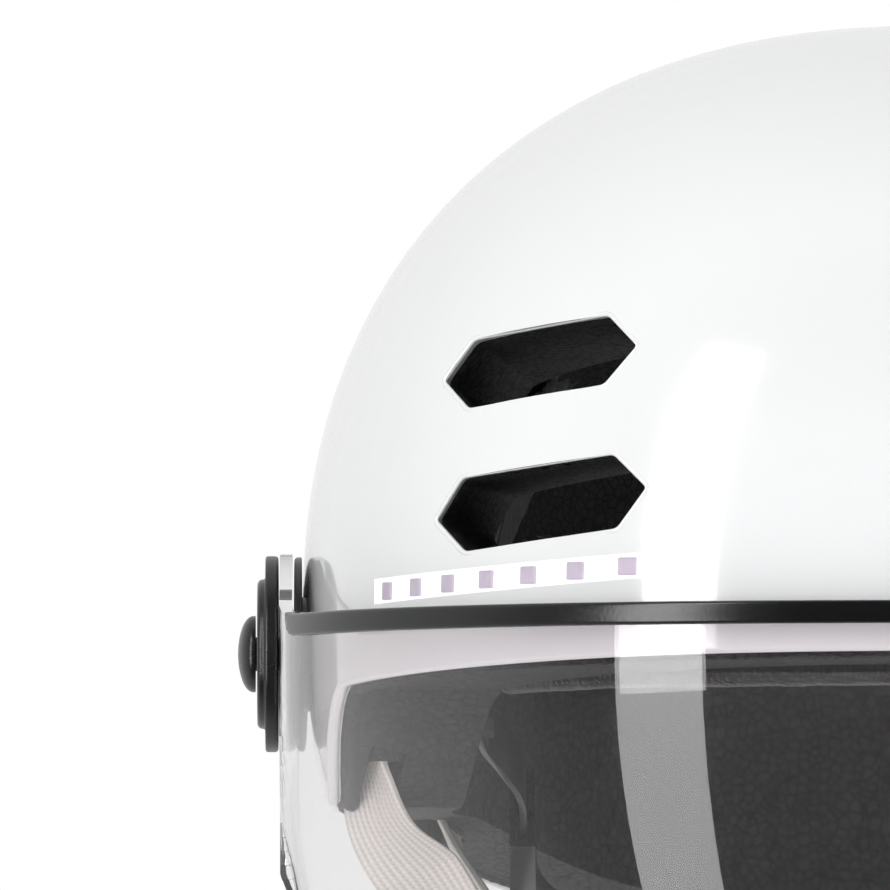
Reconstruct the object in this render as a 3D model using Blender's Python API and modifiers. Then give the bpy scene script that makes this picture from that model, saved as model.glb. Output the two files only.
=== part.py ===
"""Round urban riding helmet with a flip-up clear visor, front and rear lights and a dial-adjusted fit.

Metres, +Z up, the wearer faces -Y and the wearer's left is +X. The origin is midway between the two
visor pivots, in the middle of the head cavity, so the visor turns about the X axis.
"""

import math

import bmesh
import bpy
from mathutils import Matrix, Vector

# ---- Driving dimensions -------------------------------------------------------------------
GAP = 0.0003                # clearance between touching pieces
ROUNDNESS = 2.3             # exponent of the dome's rounded-square section

SHELL_WIDTH = 0.224
SHELL_LENGTH = 0.285
CROWN_RISE = 0.106          # crown above the dome's widest level
DOME_Y = 0.0225             # the dome's middle lies behind the visor pivots
DOME_Z = 0.005              # the dome's widest level
SHELL_WALL = 0.0022
DOME_SEGMENTS = 32
DOME_RINGS = 16

CAVITY_WIDTH = 0.172
CAVITY_LENGTH = 0.228
CAVITY_RISE = 0.078

BROW_Z = -0.0016            # the shell's rim at the brow, over the ears and at the nape
BROW_SLOPE = 0.052          # how fast the brow's rim falls towards the temples
EAR_Z = -0.026
NAPE_Z = -0.044
LINER_DROP = 0.0010         # the liner hangs this far below the shell's rim

VENT_TAPER = 0.0060
VENT_SQUARE = 0.3           # how much a channel leans from straight ahead towards square to the dome
VENT_DEPTH = 0.064
VENT_LIP = 0.0007           # the liner's channel is this much smaller all round

LENS_WALL = 0.0022
LENS_HALF_WIDTH = 0.1166    # the lens's middle surface, before its ears are flattened
LENS_REACH = 0.1251
LENS_FLAT = 0.1146          # the flat ears' middle surface
LENS_ROUNDNESS = 2.15
LENS_DROP = 0.092
LENS_CURVE = 0.148          # how slowly the lens tapers in below the pivots
LENS_TOP = 0.0050
EAR_RADIUS = 0.0175
SEAL_OUTSIDE = 0.0045       # the edge seal's full thickness
SEAL_RISE = 0.0010          # its top above the lens's edge
SEAL_GRIP = 0.0029          # its lower edge below the lens's edge

PIVOT_HOLE = 0.0034
PIVOT_SHANK = 0.0030
DISC_RADIUS = 0.0172
DISC_STEP_RADIUS = 0.0130
KNOB_RADIUS = 0.0067
SPACER_HUB = 0.0100

LED_COUNT = 7
LIGHT_HEIGHT = 0.0044
LIGHT_INNER_X = 0.0490
LIGHT_OUTER_X = 0.0990
LIGHT_INNER_Z = 0.0128
LIGHT_OUTER_Z = 0.0094

REAR_LIGHT_HALF = 0.040
REAR_LIGHT_Z = 0.0240
REAR_LIGHT_HEIGHT = 0.0070

WEB_WIDTH = 0.0165
WEB_THICK = 0.0016

FIT_TILT = 20.0             # the fit ring's plane falls this many degrees towards the nape
FIT_Z = -0.016
PINION_RADIUS = 0.003

SIDES = (("left", 1), ("right", -1))


# ---- Scene helpers ------------------------------------------------------------------------
def clear_scene():
    for old in list(bpy.data.objects):
        bpy.data.objects.remove(old)


def collection(name, hidden=False):
    made = bpy.data.collections.new(name)
    bpy.context.scene.collection.children.link(made)
    made.hide_render = hidden
    return made


def material(name, colour, roughness, metallic=0.0, alpha=1.0):
    made = bpy.data.materials.new(name)
    made.use_nodes = True
    shader = made.node_tree.nodes["Principled BSDF"]
    shader.inputs["Base Color"].default_value = (*colour, 1.0)
    shader.inputs["Roughness"].default_value = roughness
    shader.inputs["Metallic"].default_value = metallic
    shader.inputs["Alpha"].default_value = alpha
    return made


clear_scene()
PARTS = collection("riding_helmet")
CUTTERS = collection("cutters", hidden=True)

WHITE = material("gloss_white", (0.86, 0.86, 0.88), 0.08)
FOAM = material("black_foam", (0.025, 0.025, 0.026), 0.85)
FABRIC = material("pad_fabric", (0.05, 0.05, 0.055), 0.95)
CLEAR = material("clear_lens", (0.93, 0.90, 0.91), 0.03, alpha=0.3)
RUBBER = material("black_rubber", (0.03, 0.03, 0.032), 0.55)
BLACK = material("black_plastic", (0.04, 0.04, 0.042), 0.35)
WEBBING = material("webbing", (0.80, 0.78, 0.74), 0.9)
STEEL = material("steel", (0.62, 0.62, 0.64), 0.3, metallic=1.0)
LIGHT_COVER = material("light_cover", (0.92, 0.90, 0.95), 0.15)
RED_COVER = material("red_cover", (0.65, 0.03, 0.03), 0.15)
BOARD = material("circuit_board", (0.30, 0.26, 0.34), 0.5)
BATTERY = material("battery_wrap", (0.10, 0.18, 0.32), 0.45)


def add_object(name, mesh, finish, cutter=False):
    made = bpy.data.objects.new(name, mesh)
    (CUTTERS if cutter else PARTS).objects.link(made)
    if finish:
        mesh.materials.append(finish)
    if cutter:
        made.hide_render = True
        made.display_type = "WIRE"
    return made


def from_bmesh(name, bm, finish, cutter=False):
    bmesh.ops.recalc_face_normals(bm, faces=bm.faces)
    bmesh.ops.triangulate(bm, faces=bm.faces)
    mesh = bpy.data.meshes.new(name)
    bm.to_mesh(mesh)
    bm.free()
    return add_object(name, mesh, finish, cutter)


def boolean(target, tool, operation="DIFFERENCE"):
    step = target.modifiers.new(operation.lower(), "BOOLEAN")
    step.operation = operation
    step.object = tool
    return target


# ---- Shape helpers ------------------------------------------------------------------------
def dome(name, half_x, half_y, rise, finish=None, straight=False):
    """A closed rounded-square ball; with straight, its lower half drops as a plain wall."""
    bm = bmesh.new()
    bmesh.ops.create_uvsphere(bm, u_segments=DOME_SEGMENTS, v_segments=DOME_RINGS, radius=1.0)
    for vert in bm.verts:
        x, y, z = vert.co
        if straight and z < 0 and math.hypot(x, y) > 1e-6:
            size = (abs(x) ** ROUNDNESS + abs(y) ** ROUNDNESS) ** (1 / ROUNDNESS)
            x, y = x / size, y / size
        else:
            size = (abs(x) ** ROUNDNESS + abs(y) ** ROUNDNESS + abs(z) ** ROUNDNESS) ** (1 / ROUNDNESS)
            x, y, z = x / size, y / size, z / size
        vert.co = (x * half_x, DOME_Y + y * half_y, DOME_Z + z * rise)
    return from_bmesh(name, bm, finish, cutter=finish is None)


def shell_form(name, inset, finish=None):
    """The helmet's outer form, brought in by inset."""
    return dome(name, SHELL_WIDTH / 2 - inset, SHELL_LENGTH / 2 - inset, CROWN_RISE - inset, finish)


def cavity_form(name, inset, finish=None):
    """The head cavity's form, brought in by inset."""
    return dome(name, CAVITY_WIDTH / 2 - inset, CAVITY_LENGTH / 2 - inset, CAVITY_RISE - inset,
                finish, straight=True)


def dome_point(x, z, inset=0.0, rear=False):
    """(point, outward normal) on the outer form, brought in by inset, from its place seen from the front."""
    half_x, half_y, rise = SHELL_WIDTH / 2 - inset, SHELL_LENGTH / 2 - inset, CROWN_RISE - inset
    share = 1 - abs(x / half_x) ** ROUNDNESS - abs((z - DOME_Z) / rise) ** ROUNDNESS
    depth = half_y * max(share, 0.0) ** (1 / ROUNDNESS) * (1 if rear else -1)

    def slope(value, half):
        return math.copysign(abs(value / half) ** (ROUNDNESS - 1) / half, value)

    normal = Vector((slope(x, half_x), slope(depth, half_y), slope(z - DOME_Z, rise)))
    return Vector((x, DOME_Y + depth, z)), normal.normalized()


def smooth_step(value):
    share = min(max(value, 0.0), 1.0)
    return share * share * (3 - 2 * share)


def rim_height(y):
    """Height of the shell's lower rim, which depends only on how far back it is."""
    brow = BROW_Z - BROW_SLOPE * (y + 0.120)
    at_ear = brow + (EAR_Z - brow) * smooth_step((y + 0.040) / 0.032)
    return at_ear + (NAPE_Z - EAR_Z) * smooth_step((y - 0.060) / 0.100)


def plate(name, outline, thickness, finish=None):
    """A flat outline in its own XY plane, made solid to half its thickness each side."""
    curve = bpy.data.curves.new(name, "CURVE")
    curve.dimensions = "2D"
    curve.fill_mode = "BOTH"
    curve.extrude = thickness / 2
    spline = curve.splines.new("POLY")
    spline.points.add(len(outline) - 1)
    for point, (u, v) in zip(spline.points, outline):
        point.co = (u, v, 0, 1)
    spline.use_cyclic_u = True
    return curve_to_mesh(name, curve, finish)


def curve_to_mesh(name, curve, finish=None):
    """The curve's solid as a mesh object with welded caps."""
    guide = bpy.data.objects.new(name + "_curve", curve)
    CUTTERS.objects.link(guide)
    bpy.context.view_layer.update()
    graph = bpy.context.evaluated_depsgraph_get()
    mesh = bpy.data.meshes.new_from_object(guide.evaluated_get(graph))
    bpy.data.objects.remove(guide)
    bm = bmesh.new()
    bm.from_mesh(mesh)
    bmesh.ops.remove_doubles(bm, verts=bm.verts, dist=1e-6)
    bmesh.ops.recalc_face_normals(bm, faces=bm.faces)
    bm.to_mesh(mesh)
    bm.free()
    mesh.name = name
    mesh.materials.clear()
    return add_object(name, mesh, finish, cutter=finish is None)


def frame_along(normal, along):
    """A rotation whose Z is normal and whose X is as near along as it can be."""
    z = Vector(normal).normalized()
    x = (Vector(along) - z * Vector(along).dot(z)).normalized()
    return Matrix((x, z.cross(x), z)).transposed()


def place(target, point, turn):
    """Moves a mesh to point, turned by the 3x3 rotation turn, and keeps its object at the origin."""
    target.data.transform(Matrix.Translation(Vector(point)) @ turn.to_4x4())
    return target


def block(name, size, point, turn=None, finish=None):
    """A box of full size (x, y, z) about point."""
    bm = bmesh.new()
    bmesh.ops.create_cube(bm, size=1.0)
    bmesh.ops.scale(bm, vec=Vector(size), verts=bm.verts)
    made = from_bmesh(name, bm, finish, cutter=finish is None)
    return place(made, point, turn or Matrix.Identity(3))


def turned(name, profile, segments, point, axis, finish=None):
    """A turned shape about axis from a profile of (radius, height), run from its top to its bottom."""
    bm = bmesh.new()
    verts = [bm.verts.new((radius, 0, height)) for radius, height in profile]
    edges = [bm.edges.new(pair) for pair in zip(verts, verts[1:])]
    bmesh.ops.spin(bm, geom=verts + edges, cent=(0, 0, 0), axis=(0, 0, 1), steps=segments,
                   angle=2 * math.pi)
    bmesh.ops.remove_doubles(bm, verts=bm.verts, dist=1e-6)
    made = from_bmesh(name, bm, finish, cutter=finish is None)
    turn = Vector((0, 0, 1)).rotation_difference(Vector(axis)).to_matrix()
    place(made, point, turn)
    return made


def side_prism(name, outline):
    """A side-view outline of (y, z) points, run right across the helmet."""
    made = plate(name, outline, 0.40)
    made.data.transform(Matrix(((0, 0, 1, 0), (1, 0, 0, 0), (0, 1, 0, 0), (0, 0, 0, 1))))
    return made


def front_prism(name, outline, rear=False, depth=0.150):
    """A front-view outline of (x, z) points, run along Y through the front or the rear half."""
    made = plate(name, outline, depth)
    middle = DOME_Y + (depth / 2 + 0.030) * (1 if rear else -1)
    made.data.transform(Matrix(((1, 0, 0, 0), (0, 0, -1, middle), (0, 1, 0, 0), (0, 0, 0, 1))))
    return made


def arc(radius, start, end, steps, centre=(0.0, 0.0)):
    """Points on an arc in degrees, both ends included."""
    turn = [math.radians(start + (end - start) * i / steps) for i in range(steps + 1)]
    return [(centre[0] + radius * math.cos(t), centre[1] + radius * math.sin(t)) for t in turn]


def ribbon(name, route, across, width, thickness, finish):
    """A flat strap along route; across gives its width direction at each point."""
    bm = bmesh.new()
    rows = []
    for point, side in zip(route, across):
        half = Vector(side).normalized() * width / 2
        rows.append([bm.verts.new(Vector(point) - half), bm.verts.new(Vector(point) + half)])
    for low, high in zip(rows, rows[1:]):
        bm.faces.new((low[0], low[1], high[1], high[0]))
    made = from_bmesh(name, bm, finish, cutter=finish is None)
    wall = made.modifiers.new("thickness", "SOLIDIFY")
    wall.thickness = thickness
    wall.offset = 0
    wall.use_even_offset = False
    return made


def spread(points, count):
    """A smooth curve through hand-set points, read at count even steps."""
    ends = [2 * points[0] - points[1], *points, 2 * points[-1] - points[-2]]
    fine = []
    for i in range(1, len(ends) - 2):
        p0, p1, p2, p3 = ends[i - 1:i + 3]
        for step in range(12):
            t = step / 12
            fine.append(0.5 * (2 * p1 + (p2 - p0) * t + (2 * p0 - 5 * p1 + 4 * p2 - p3) * t ** 2
                               + (3 * p1 - p0 - 3 * p2 + p3) * t ** 3))
    fine.append(points[-1])
    lengths = [0.0]
    for a, b in zip(fine, fine[1:]):
        lengths.append(lengths[-1] + (b - a).length)
    picked = []
    for i in range(count):
        want = lengths[-1] * i / (count - 1)
        k = max(j for j in range(len(lengths)) if lengths[j] <= want + 1e-12)
        k = min(k, len(fine) - 2)
        share = (want - lengths[k]) / max(lengths[k + 1] - lengths[k], 1e-12)
        picked.append(fine[k].lerp(fine[k + 1], share))
    return picked


def mirrored(points, side):
    """Points or directions given for the wearer's left, on either side."""
    return [Vector((p[0] * side, p[1], p[2])) for p in points]


# ---- Outer shell and foam liner -----------------------------------------------------------
shell = shell_form("outer_shell", 0.0, WHITE)
boolean(shell, shell_form("shell_hollow", SHELL_WALL))

liner = shell_form("foam_liner", SHELL_WALL + GAP, FOAM)
boolean(liner, cavity_form("head_cavity", 0.0))


def below_rim(drop):
    """The side-view outline of everything below the rim."""
    places = [-0.150, -0.100, -0.060, *[-0.042 + 0.004 * i for i in range(10)],
              0.030, *[0.060 + 0.0125 * i for i in range(9)], 0.185]
    line = [(y, rim_height(y) - drop) for y in places]
    return [(-0.150, -0.200), *line, (line[-1][0], -0.200)]


boolean(shell, side_prism("shell_rim_cut", below_rim(0.0)[::-1]))
boolean(liner, side_prism("liner_rim_cut", below_rim(LINER_DROP)[::-1]))

VENTS = [(side * x, z, rear, tilt * side, length, height)
         for side in (1, -1) for x, z, rear, tilt, length, height in (
             (0.0711, 0.0483, False, -2.6, 0.0392, 0.0131), (0.0711, 0.0236, False, -4.8, 0.0424, 0.0131),
             (0.0520, 0.0735, True, 4.0, 0.0340, 0.0118), (0.0700, 0.0450, True, 4.0, 0.0340, 0.0118))]


def vent_cutter(name, place_on, shrink):
    """A six-sided channel, pointed at both ends, that runs nearly straight in from the front or the back."""
    x, z, rear, tilt, length, height = place_on
    half, high, taper = length / 2 - shrink, height / 2 - shrink, VENT_TAPER
    outline = [(half, 0), (half - taper, high), (taper - half, high), (-half, 0),
               (taper - half, -high), (half - taper, -high)]
    made = plate(name, outline, 2 * VENT_DEPTH)
    point, normal = dome_point(x, z, rear=rear)
    straight = Vector((0, 1 if rear else -1, 0))
    outward = (normal * VENT_SQUARE + straight * (1 - VENT_SQUARE)).normalized()
    level = Vector((0, 0, 1)).cross(outward).normalized()
    turn = Matrix.Rotation(math.radians(tilt), 3, outward)
    return place(made, point, turn @ frame_along(outward, level))


for number, vent in enumerate(VENTS, 1):
    boolean(shell, vent_cutter(f"vent_hole_{number}", vent, 0.0))
    boolean(liner, vent_cutter(f"vent_channel_{number}", vent, VENT_LIP))


# ---- Visor lens and its edge seal ---------------------------------------------------------
def lens_point(angle, z, offset):
    """A point of the lens's form at a plan angle; 0 is the left pivot and 180 the right one."""
    taper = math.sqrt(1 - (z / LENS_CURVE) ** 2)
    power = 2 / LENS_ROUNDNESS
    across, ahead = math.cos(math.radians(angle)), math.sin(math.radians(angle))
    x = math.copysign(abs(across) ** power, across) * (LENS_HALF_WIDTH + offset) * taper
    limit = LENS_FLAT + offset
    return Vector((min(max(x, -limit), limit), -abs(ahead) ** power * (LENS_REACH + offset) * taper, z))


def lens_slab(name, wall, low, high, finish=None, columns=24, rows=6):
    """The lens's curved wall, carried on as flat ears behind the pivots."""
    bm = bmesh.new()
    skins = []
    for offset in (wall / 2, -wall / 2):
        skin = []
        for row in range(rows + 1):
            z = low + (high - low) * row / rows
            line = [Vector((LENS_FLAT + offset, 0.024, z))]
            line += [lens_point(180 * i / columns, z, offset) for i in range(columns + 1)]
            line.append(Vector((-LENS_FLAT - offset, 0.024, z)))
            skin.append([bm.verts.new(point) for point in line])
        skins.append(skin)
    count = columns + 3
    for skin in skins:
        for below, above in zip(skin, skin[1:]):
            for i in range(count - 1):
                bm.faces.new((below[i], below[i + 1], above[i + 1], above[i]))
    outer, inner = skins
    for row in (0, rows):
        for i in range(count - 1):
            bm.faces.new((outer[row][i], outer[row][i + 1], inner[row][i + 1], inner[row][i]))
    for row in range(rows):
        for i in (0, count - 1):
            bm.faces.new((outer[row][i], outer[row + 1][i], inner[row + 1][i], inner[row][i]))
    return from_bmesh(name, bm, finish, cutter=finish is None)


def lens_top(y):
    """The lens's upper edge in side view: level, then rising to the round ear."""
    return LENS_TOP + 7.67 * max(y + 0.044, 0.0) ** 2


def lens_outline(grow):
    """The lens's side view, grown by grow all round."""
    top = [(y, lens_top(y) + grow) for y in (-0.150, -0.044, -0.037, -0.030, -0.0235, -0.0165)]
    ear = arc(EAR_RADIUS + grow, 132, -40, 22)
    drop = [(0.006, -0.025), (-0.003, -0.044), (-0.017, -0.062), (-0.036, -0.077),
            (-0.060, -0.087), (-0.090, -0.0915), (-0.150, -0.092)]
    return (top + ear + [(y + grow, z - grow) for y, z in drop])[::-1]


lens = lens_slab("visor_lens", LENS_WALL, -LENS_DROP - 0.004, 0.022, CLEAR)
boolean(lens, side_prism("lens_outline", lens_outline(0.0)), "INTERSECT")

seal = lens_slab("visor_seal", SEAL_OUTSIDE, -0.002, 0.014, RUBBER, rows=2)
seal_run = (-0.150, -0.044, -0.0405, -0.0370)
seal_band = [(y, lens_top(y) + SEAL_RISE) for y in seal_run]
seal_band += [(y, lens_top(y) - SEAL_GRIP) for y in seal_run[::-1]]
boolean(seal, side_prism("seal_band", seal_band[::-1]), "INTERSECT")
groove = lens_slab("seal_groove", LENS_WALL + 2 * GAP, -0.004, 0.016, rows=2)
boolean(groove, side_prism("seal_groove_top", lens_outline(GAP)), "INTERSECT")
boolean(seal, groove)


# ---- Visor pivots -------------------------------------------------------------------------
for label, side in SIDES:
    axis = (side, 0, 0)
    shaft_hole = turned(f"shaft_hole_{label}", [(0, 0.122), (PIVOT_HOLE, 0.122), (PIVOT_HOLE, 0.090),
                                                (0, 0.090)], 16, (0, 0, 0), axis)
    nut_pocket = turned(f"nut_pocket_{label}", [(0, 0.1120), (0.0090, 0.1120), (0.0090, 0.0975),
                                                (0, 0.0975)], 16, (0, 0, 0), axis)
    for holed in (shell, lens):
        boolean(holed, shaft_hole)
    boolean(liner, nut_pocket)

    spacer = turned(f"pivot_spacer_{label}", [(PIVOT_HOLE, 0.1132), (0.0170, 0.1132), (0.0170, 0.1119),
                                              (SPACER_HUB, 0.1119), (SPACER_HUB, 0.1090),
                                              (PIVOT_HOLE, 0.1090), (PIVOT_HOLE, 0.1132)],
                    20, (0, 0, 0), axis, BLACK)
    boolean(spacer, shell_form(f"spacer_seat_{label}", -GAP))

    turned(f"pivot_disc_{label}",
           [(PIVOT_HOLE, 0.1197), (DISC_STEP_RADIUS - 0.0004, 0.1197), (DISC_STEP_RADIUS, 0.1193),
            (DISC_STEP_RADIUS, 0.1183), (DISC_RADIUS - 0.0005, 0.1183), (DISC_RADIUS, 0.1178),
            (DISC_RADIUS, 0.1165), (DISC_RADIUS - 0.0005, 0.1160), (PIVOT_HOLE, 0.1160),
            (PIVOT_HOLE, 0.1197)], 24, (0, 0, 0), axis, BLACK)

    cap = [(KNOB_RADIUS * math.sin(math.radians(a)), 0.1205 + 0.0026 * math.cos(math.radians(a)))
           for a in (0, 25, 50, 72, 90)]
    cap[0] = (0, cap[0][1])
    turned(f"pivot_knob_{label}", [*cap, (KNOB_RADIUS, 0.1200), (PIVOT_SHANK, 0.1200),
                                   (PIVOT_SHANK, 0.1012), (0, 0.1012)], 18, (0, 0, 0), axis, BLACK)

    turned(f"pivot_nut_{label}", [(PIVOT_HOLE, 0.1076), (0.0080, 0.1076), (0.0080, 0.1061),
                                  (0.0050, 0.1061), (0.0050, 0.0995), (PIVOT_HOLE, 0.0995),
                                  (PIVOT_HOLE, 0.1076)], 16, (0, 0, 0), axis, STEEL)


# ---- Front lights -------------------------------------------------------------------------
def light_line(x):
    """Height of the front light's middle line at x."""
    share = (abs(x) - LIGHT_INNER_X) / (LIGHT_OUTER_X - LIGHT_INNER_X)
    return LIGHT_INNER_Z + (LIGHT_OUTER_Z - LIGHT_INNER_Z) * share


def light_band(side, grow):
    """The front light's outline in front view, grown by grow."""
    inner, outer, half = LIGHT_INNER_X - grow, LIGHT_OUTER_X + grow, LIGHT_HEIGHT / 2 + grow
    outline = [(side * inner, light_line(inner) - half), (side * outer, light_line(outer) - half),
               (side * outer, light_line(outer) + half), (side * inner, light_line(inner) + half)]
    return outline if side > 0 else outline[::-1]


def even_places(start, end, height, rear, count):
    """x places at even distances along the dome between two x values."""
    steps = 200
    xs = [start + (end - start) * i / steps for i in range(steps + 1)]
    points = [dome_point(x, height(x), rear=rear)[0] for x in xs]
    run = [0.0]
    for a, b in zip(points, points[1:]):
        run.append(run[-1] + (b - a).length)
    return [xs[min(range(len(run)), key=lambda k: abs(run[k] - run[-1] * i / (count - 1)))]
            for i in range(count)]


def led_board(name, outline, places, height, rear):
    """A thin board curved behind a light cover, with one raised LED at each place."""
    board = shell_form(name, SHELL_WALL + 0.0026, BOARD)
    boolean(board, front_prism(name + "_outline", outline, rear), "INTERSECT")
    boolean(board, shell_form(name + "_back", SHELL_WALL + 0.0036))
    for number, x in enumerate(places, 1):
        point, normal = dome_point(x, height(x), SHELL_WALL + 0.0024, rear)
        turn = frame_along(normal, Vector((0, 0, 1)).cross(normal))
        led = block(f"{name}_led_{number}", (0.0034, 0.0028, 0.0026), point, turn)
        boolean(board, led, "UNION")
    return board


for label, side in SIDES:
    boolean(shell, front_prism(f"light_window_{label}", light_band(side, 0.0)))
    cover = shell_form(f"front_light_cover_{label}", 0.0, LIGHT_COVER)
    boolean(cover, front_prism(f"light_cover_outline_{label}", light_band(side, -GAP)), "INTERSECT")
    boolean(cover, shell_form(f"light_cover_back_{label}", SHELL_WALL - 0.0006))
    groove = front_prism(f"light_groove_{label}", light_band(side, 0.0008))
    boolean(groove, shell_form(f"light_groove_floor_{label}", SHELL_WALL + 0.0042))
    boolean(liner, groove)
    leds = even_places(side * (LIGHT_INNER_X + 0.0065), side * (LIGHT_OUTER_X - 0.0025),
                       light_line, False, LED_COUNT)
    led_board(f"front_led_board_{label}", light_band(side, -0.0005), leds, light_line, False)


# ---- Rear light ---------------------------------------------------------------------------
def rear_band(grow):
    """The rear light's outline: a long slot with pointed ends, matching the vents."""
    half, high = REAR_LIGHT_HALF + grow, REAR_LIGHT_HEIGHT / 2 + grow
    return [(half, REAR_LIGHT_Z), (half - high, REAR_LIGHT_Z + high),
            (high - half, REAR_LIGHT_Z + high), (-half, REAR_LIGHT_Z),
            (high - half, REAR_LIGHT_Z - high), (half - high, REAR_LIGHT_Z - high)]


boolean(shell, front_prism("rear_light_window", rear_band(0.0), True))
rear_cover = shell_form("rear_light_cover", 0.0, RED_COVER)
boolean(rear_cover, front_prism("rear_light_outline", rear_band(-GAP), True), "INTERSECT")
boolean(rear_cover, shell_form("rear_light_back", SHELL_WALL - 0.0006))
rear_groove = front_prism("rear_light_groove", rear_band(0.0008), True)
boolean(rear_groove, shell_form("rear_groove_floor", SHELL_WALL + 0.0042))
boolean(liner, rear_groove)
led_board("rear_led_board", rear_band(-0.0008),
          even_places(-0.030, 0.030, lambda x: REAR_LIGHT_Z, True, 7), lambda x: REAR_LIGHT_Z, True)


# ---- Battery, control board, power button and charging flap --------------------------------
BAY_TURN = frame_along((0, math.cos(math.radians(17.8)), math.sin(math.radians(17.8))), (1, 0, 0))
BAY_POINT = Vector((0, 0.1470, 0.0385))
BATTERY_SIZE = (0.046, 0.028, 0.007)
BATTERY_ROOM = Vector(BATTERY_SIZE) + Vector((0.0008, 0.0008, 0.0200))

block("battery", BATTERY_SIZE, BAY_POINT, BAY_TURN, BATTERY)
boolean(liner, block("battery_bay", BATTERY_ROOM, BAY_POINT + BAY_TURN @ Vector((0, 0, 0.0096)),
                     BAY_TURN))

BOARD_SIZE = (0.044, 0.022, 0.0016)
BOARD_POINT = Vector((0, 0.1540, 0.0060))
BUTTON_RADIUS = 0.0055
BUTTON_POINT = Vector((0.010, 0, 0.0040))
REAR_TURN = frame_along((0, 1, 0), (1, 0, 0))

control_board = block("control_board", BOARD_SIZE, BOARD_POINT, REAR_TURN, BOARD)
switch = block("push_switch", (0.006, 0.006, 0.0040), (BUTTON_POINT.x, 0.1567, BUTTON_POINT.z), REAR_TURN)
boolean(control_board, switch, "UNION")
socket = block("charge_socket", (0.009, 0.0036, 0.0062), (-0.014, 0.1578, 0.0040), REAR_TURN)
socket_mouth = block("charge_socket_mouth", (0.0074, 0.0022, 0.0052), (-0.014, 0.1586, 0.0040), REAR_TURN)
boolean(socket, socket_mouth)
boolean(control_board, socket, "UNION")
boolean(liner, block("board_bay", (0.0452, 0.0232, 0.0200), BOARD_POINT + Vector((0, 0.0086, 0)),
                     REAR_TURN))

button_y = dome_point(BUTTON_POINT.x, BUTTON_POINT.z, rear=True)[0].y
button_hole = turned("button_hole", [(0, 0.010), (BUTTON_RADIUS + GAP, 0.010),
                                     (BUTTON_RADIUS + GAP, -0.010), (0, -0.010)], 28,
                     (BUTTON_POINT.x, button_y, BUTTON_POINT.z), (0, 1, 0))
boolean(shell, button_hole)
turned("power_button", [(0, 0.0008), (BUTTON_RADIUS - 0.0006, 0.0008), (BUTTON_RADIUS, 0.0002),
                        (BUTTON_RADIUS, -0.0030), (0.0020, -0.0030), (0.0020, -0.0048), (0, -0.0048)],
       28, (BUTTON_POINT.x, button_y, BUTTON_POINT.z), (0, 1, 0), RUBBER)


def flap_band(grow):
    """The charging flap's outline in rear view."""
    wide, high = 0.0075 + grow, 0.0040 + grow
    corner = 0.0018
    return [(x - 0.014, z + 0.0040) for x, z in (
        (wide, high - corner), (wide - corner, high), (corner - wide, high), (-wide, high - corner),
        (-wide, corner - high), (corner - wide, -high), (wide - corner, -high), (wide, corner - high))]


boolean(shell, front_prism("flap_window", flap_band(0.0), True))
flap = shell_form("charge_flap", 0.0, RUBBER)
boolean(flap, front_prism("flap_outline", flap_band(-0.0004), True), "INTERSECT")
boolean(flap, shell_form("flap_back", 0.0014))


# ---- Fit ring: two arms and a dial cradle --------------------------------------------------
# The ring lies in a plane that falls towards the nape: u across, v back along the plane, w up.
TILT = math.radians(FIT_TILT)
FIT_TURN = Matrix(((1, 0, 0), (0, math.cos(TILT), math.sin(TILT)), (0, -math.sin(TILT), math.cos(TILT))))
FIT_POINT = Vector((0, 0, FIT_Z))
RING_HALF = 0.0735
RING_CORNER = 0.068         # where the straight arms start to bend round the nape
RING_DEPTH = 0.050
BAND_HEIGHT = 0.0100
BAND_WALL = 0.0011


def ring_point(angle, offset):
    """Plan point of the rounded part of the ring; 0 is its left end, 90 the nape."""
    across, back = math.cos(math.radians(angle)), math.sin(math.radians(angle))
    power = 2 / 2.4
    return Vector((math.copysign(abs(across) ** power, across) * (RING_HALF + offset),
                   RING_CORNER + abs(back) ** power * (RING_DEPTH + offset)))


def ring_band(name, path_of, wall, offset, half_height, finish=None):
    """An upright band along path_of(offset), in the ring's plane."""
    outer, inner = path_of(offset + wall / 2), path_of(offset - wall / 2)
    made = plate(name, [tuple(p) for p in outer + inner[::-1]][::-1], 2 * half_height, finish)
    return place(made, FIT_POINT, FIT_TURN)


def arm_path(side, end_angle):
    """The left or right arm: out to the liner in front, straight along the head, round the nape."""
    def path(offset):
        front = [(0.0812, -0.018), (0.0798, -0.009), (0.0768, 0.001), (RING_HALF, 0.016), (RING_HALF, 0.040)]
        points = [Vector((u + offset, v)) for u, v in front]
        points += [ring_point(end_angle * i / 9, offset) for i in range(10)]
        return [Vector((p.x * side, p.y)) for p in points]
    return path


def rack_path(side):
    """An arm's narrow end, which runs on past the dial's pinion."""
    def path(offset):
        points = [ring_point(65 + 39 * i / 6, offset) for i in range(7)]
        return [Vector((p.x * side, p.y)) for p in points]
    return path


def cradle_path(front, steps):
    """The cradle's wings and the bend behind the head."""
    def path(offset):
        bend = [ring_point(180 * i / steps, offset) for i in range(steps + 1)]
        return [Vector((RING_HALF + offset, front)), *bend, Vector((-RING_HALF - offset, front))]
    return path


def fit_turned(name, profile, segments, point, finish=None):
    """A turned shape on the dial's axis, which points back out of the ring."""
    return turned(name, profile, segments, FIT_POINT + FIT_TURN @ Vector(point),
                  FIT_TURN @ Vector((0, 1, 0)), finish)


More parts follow.
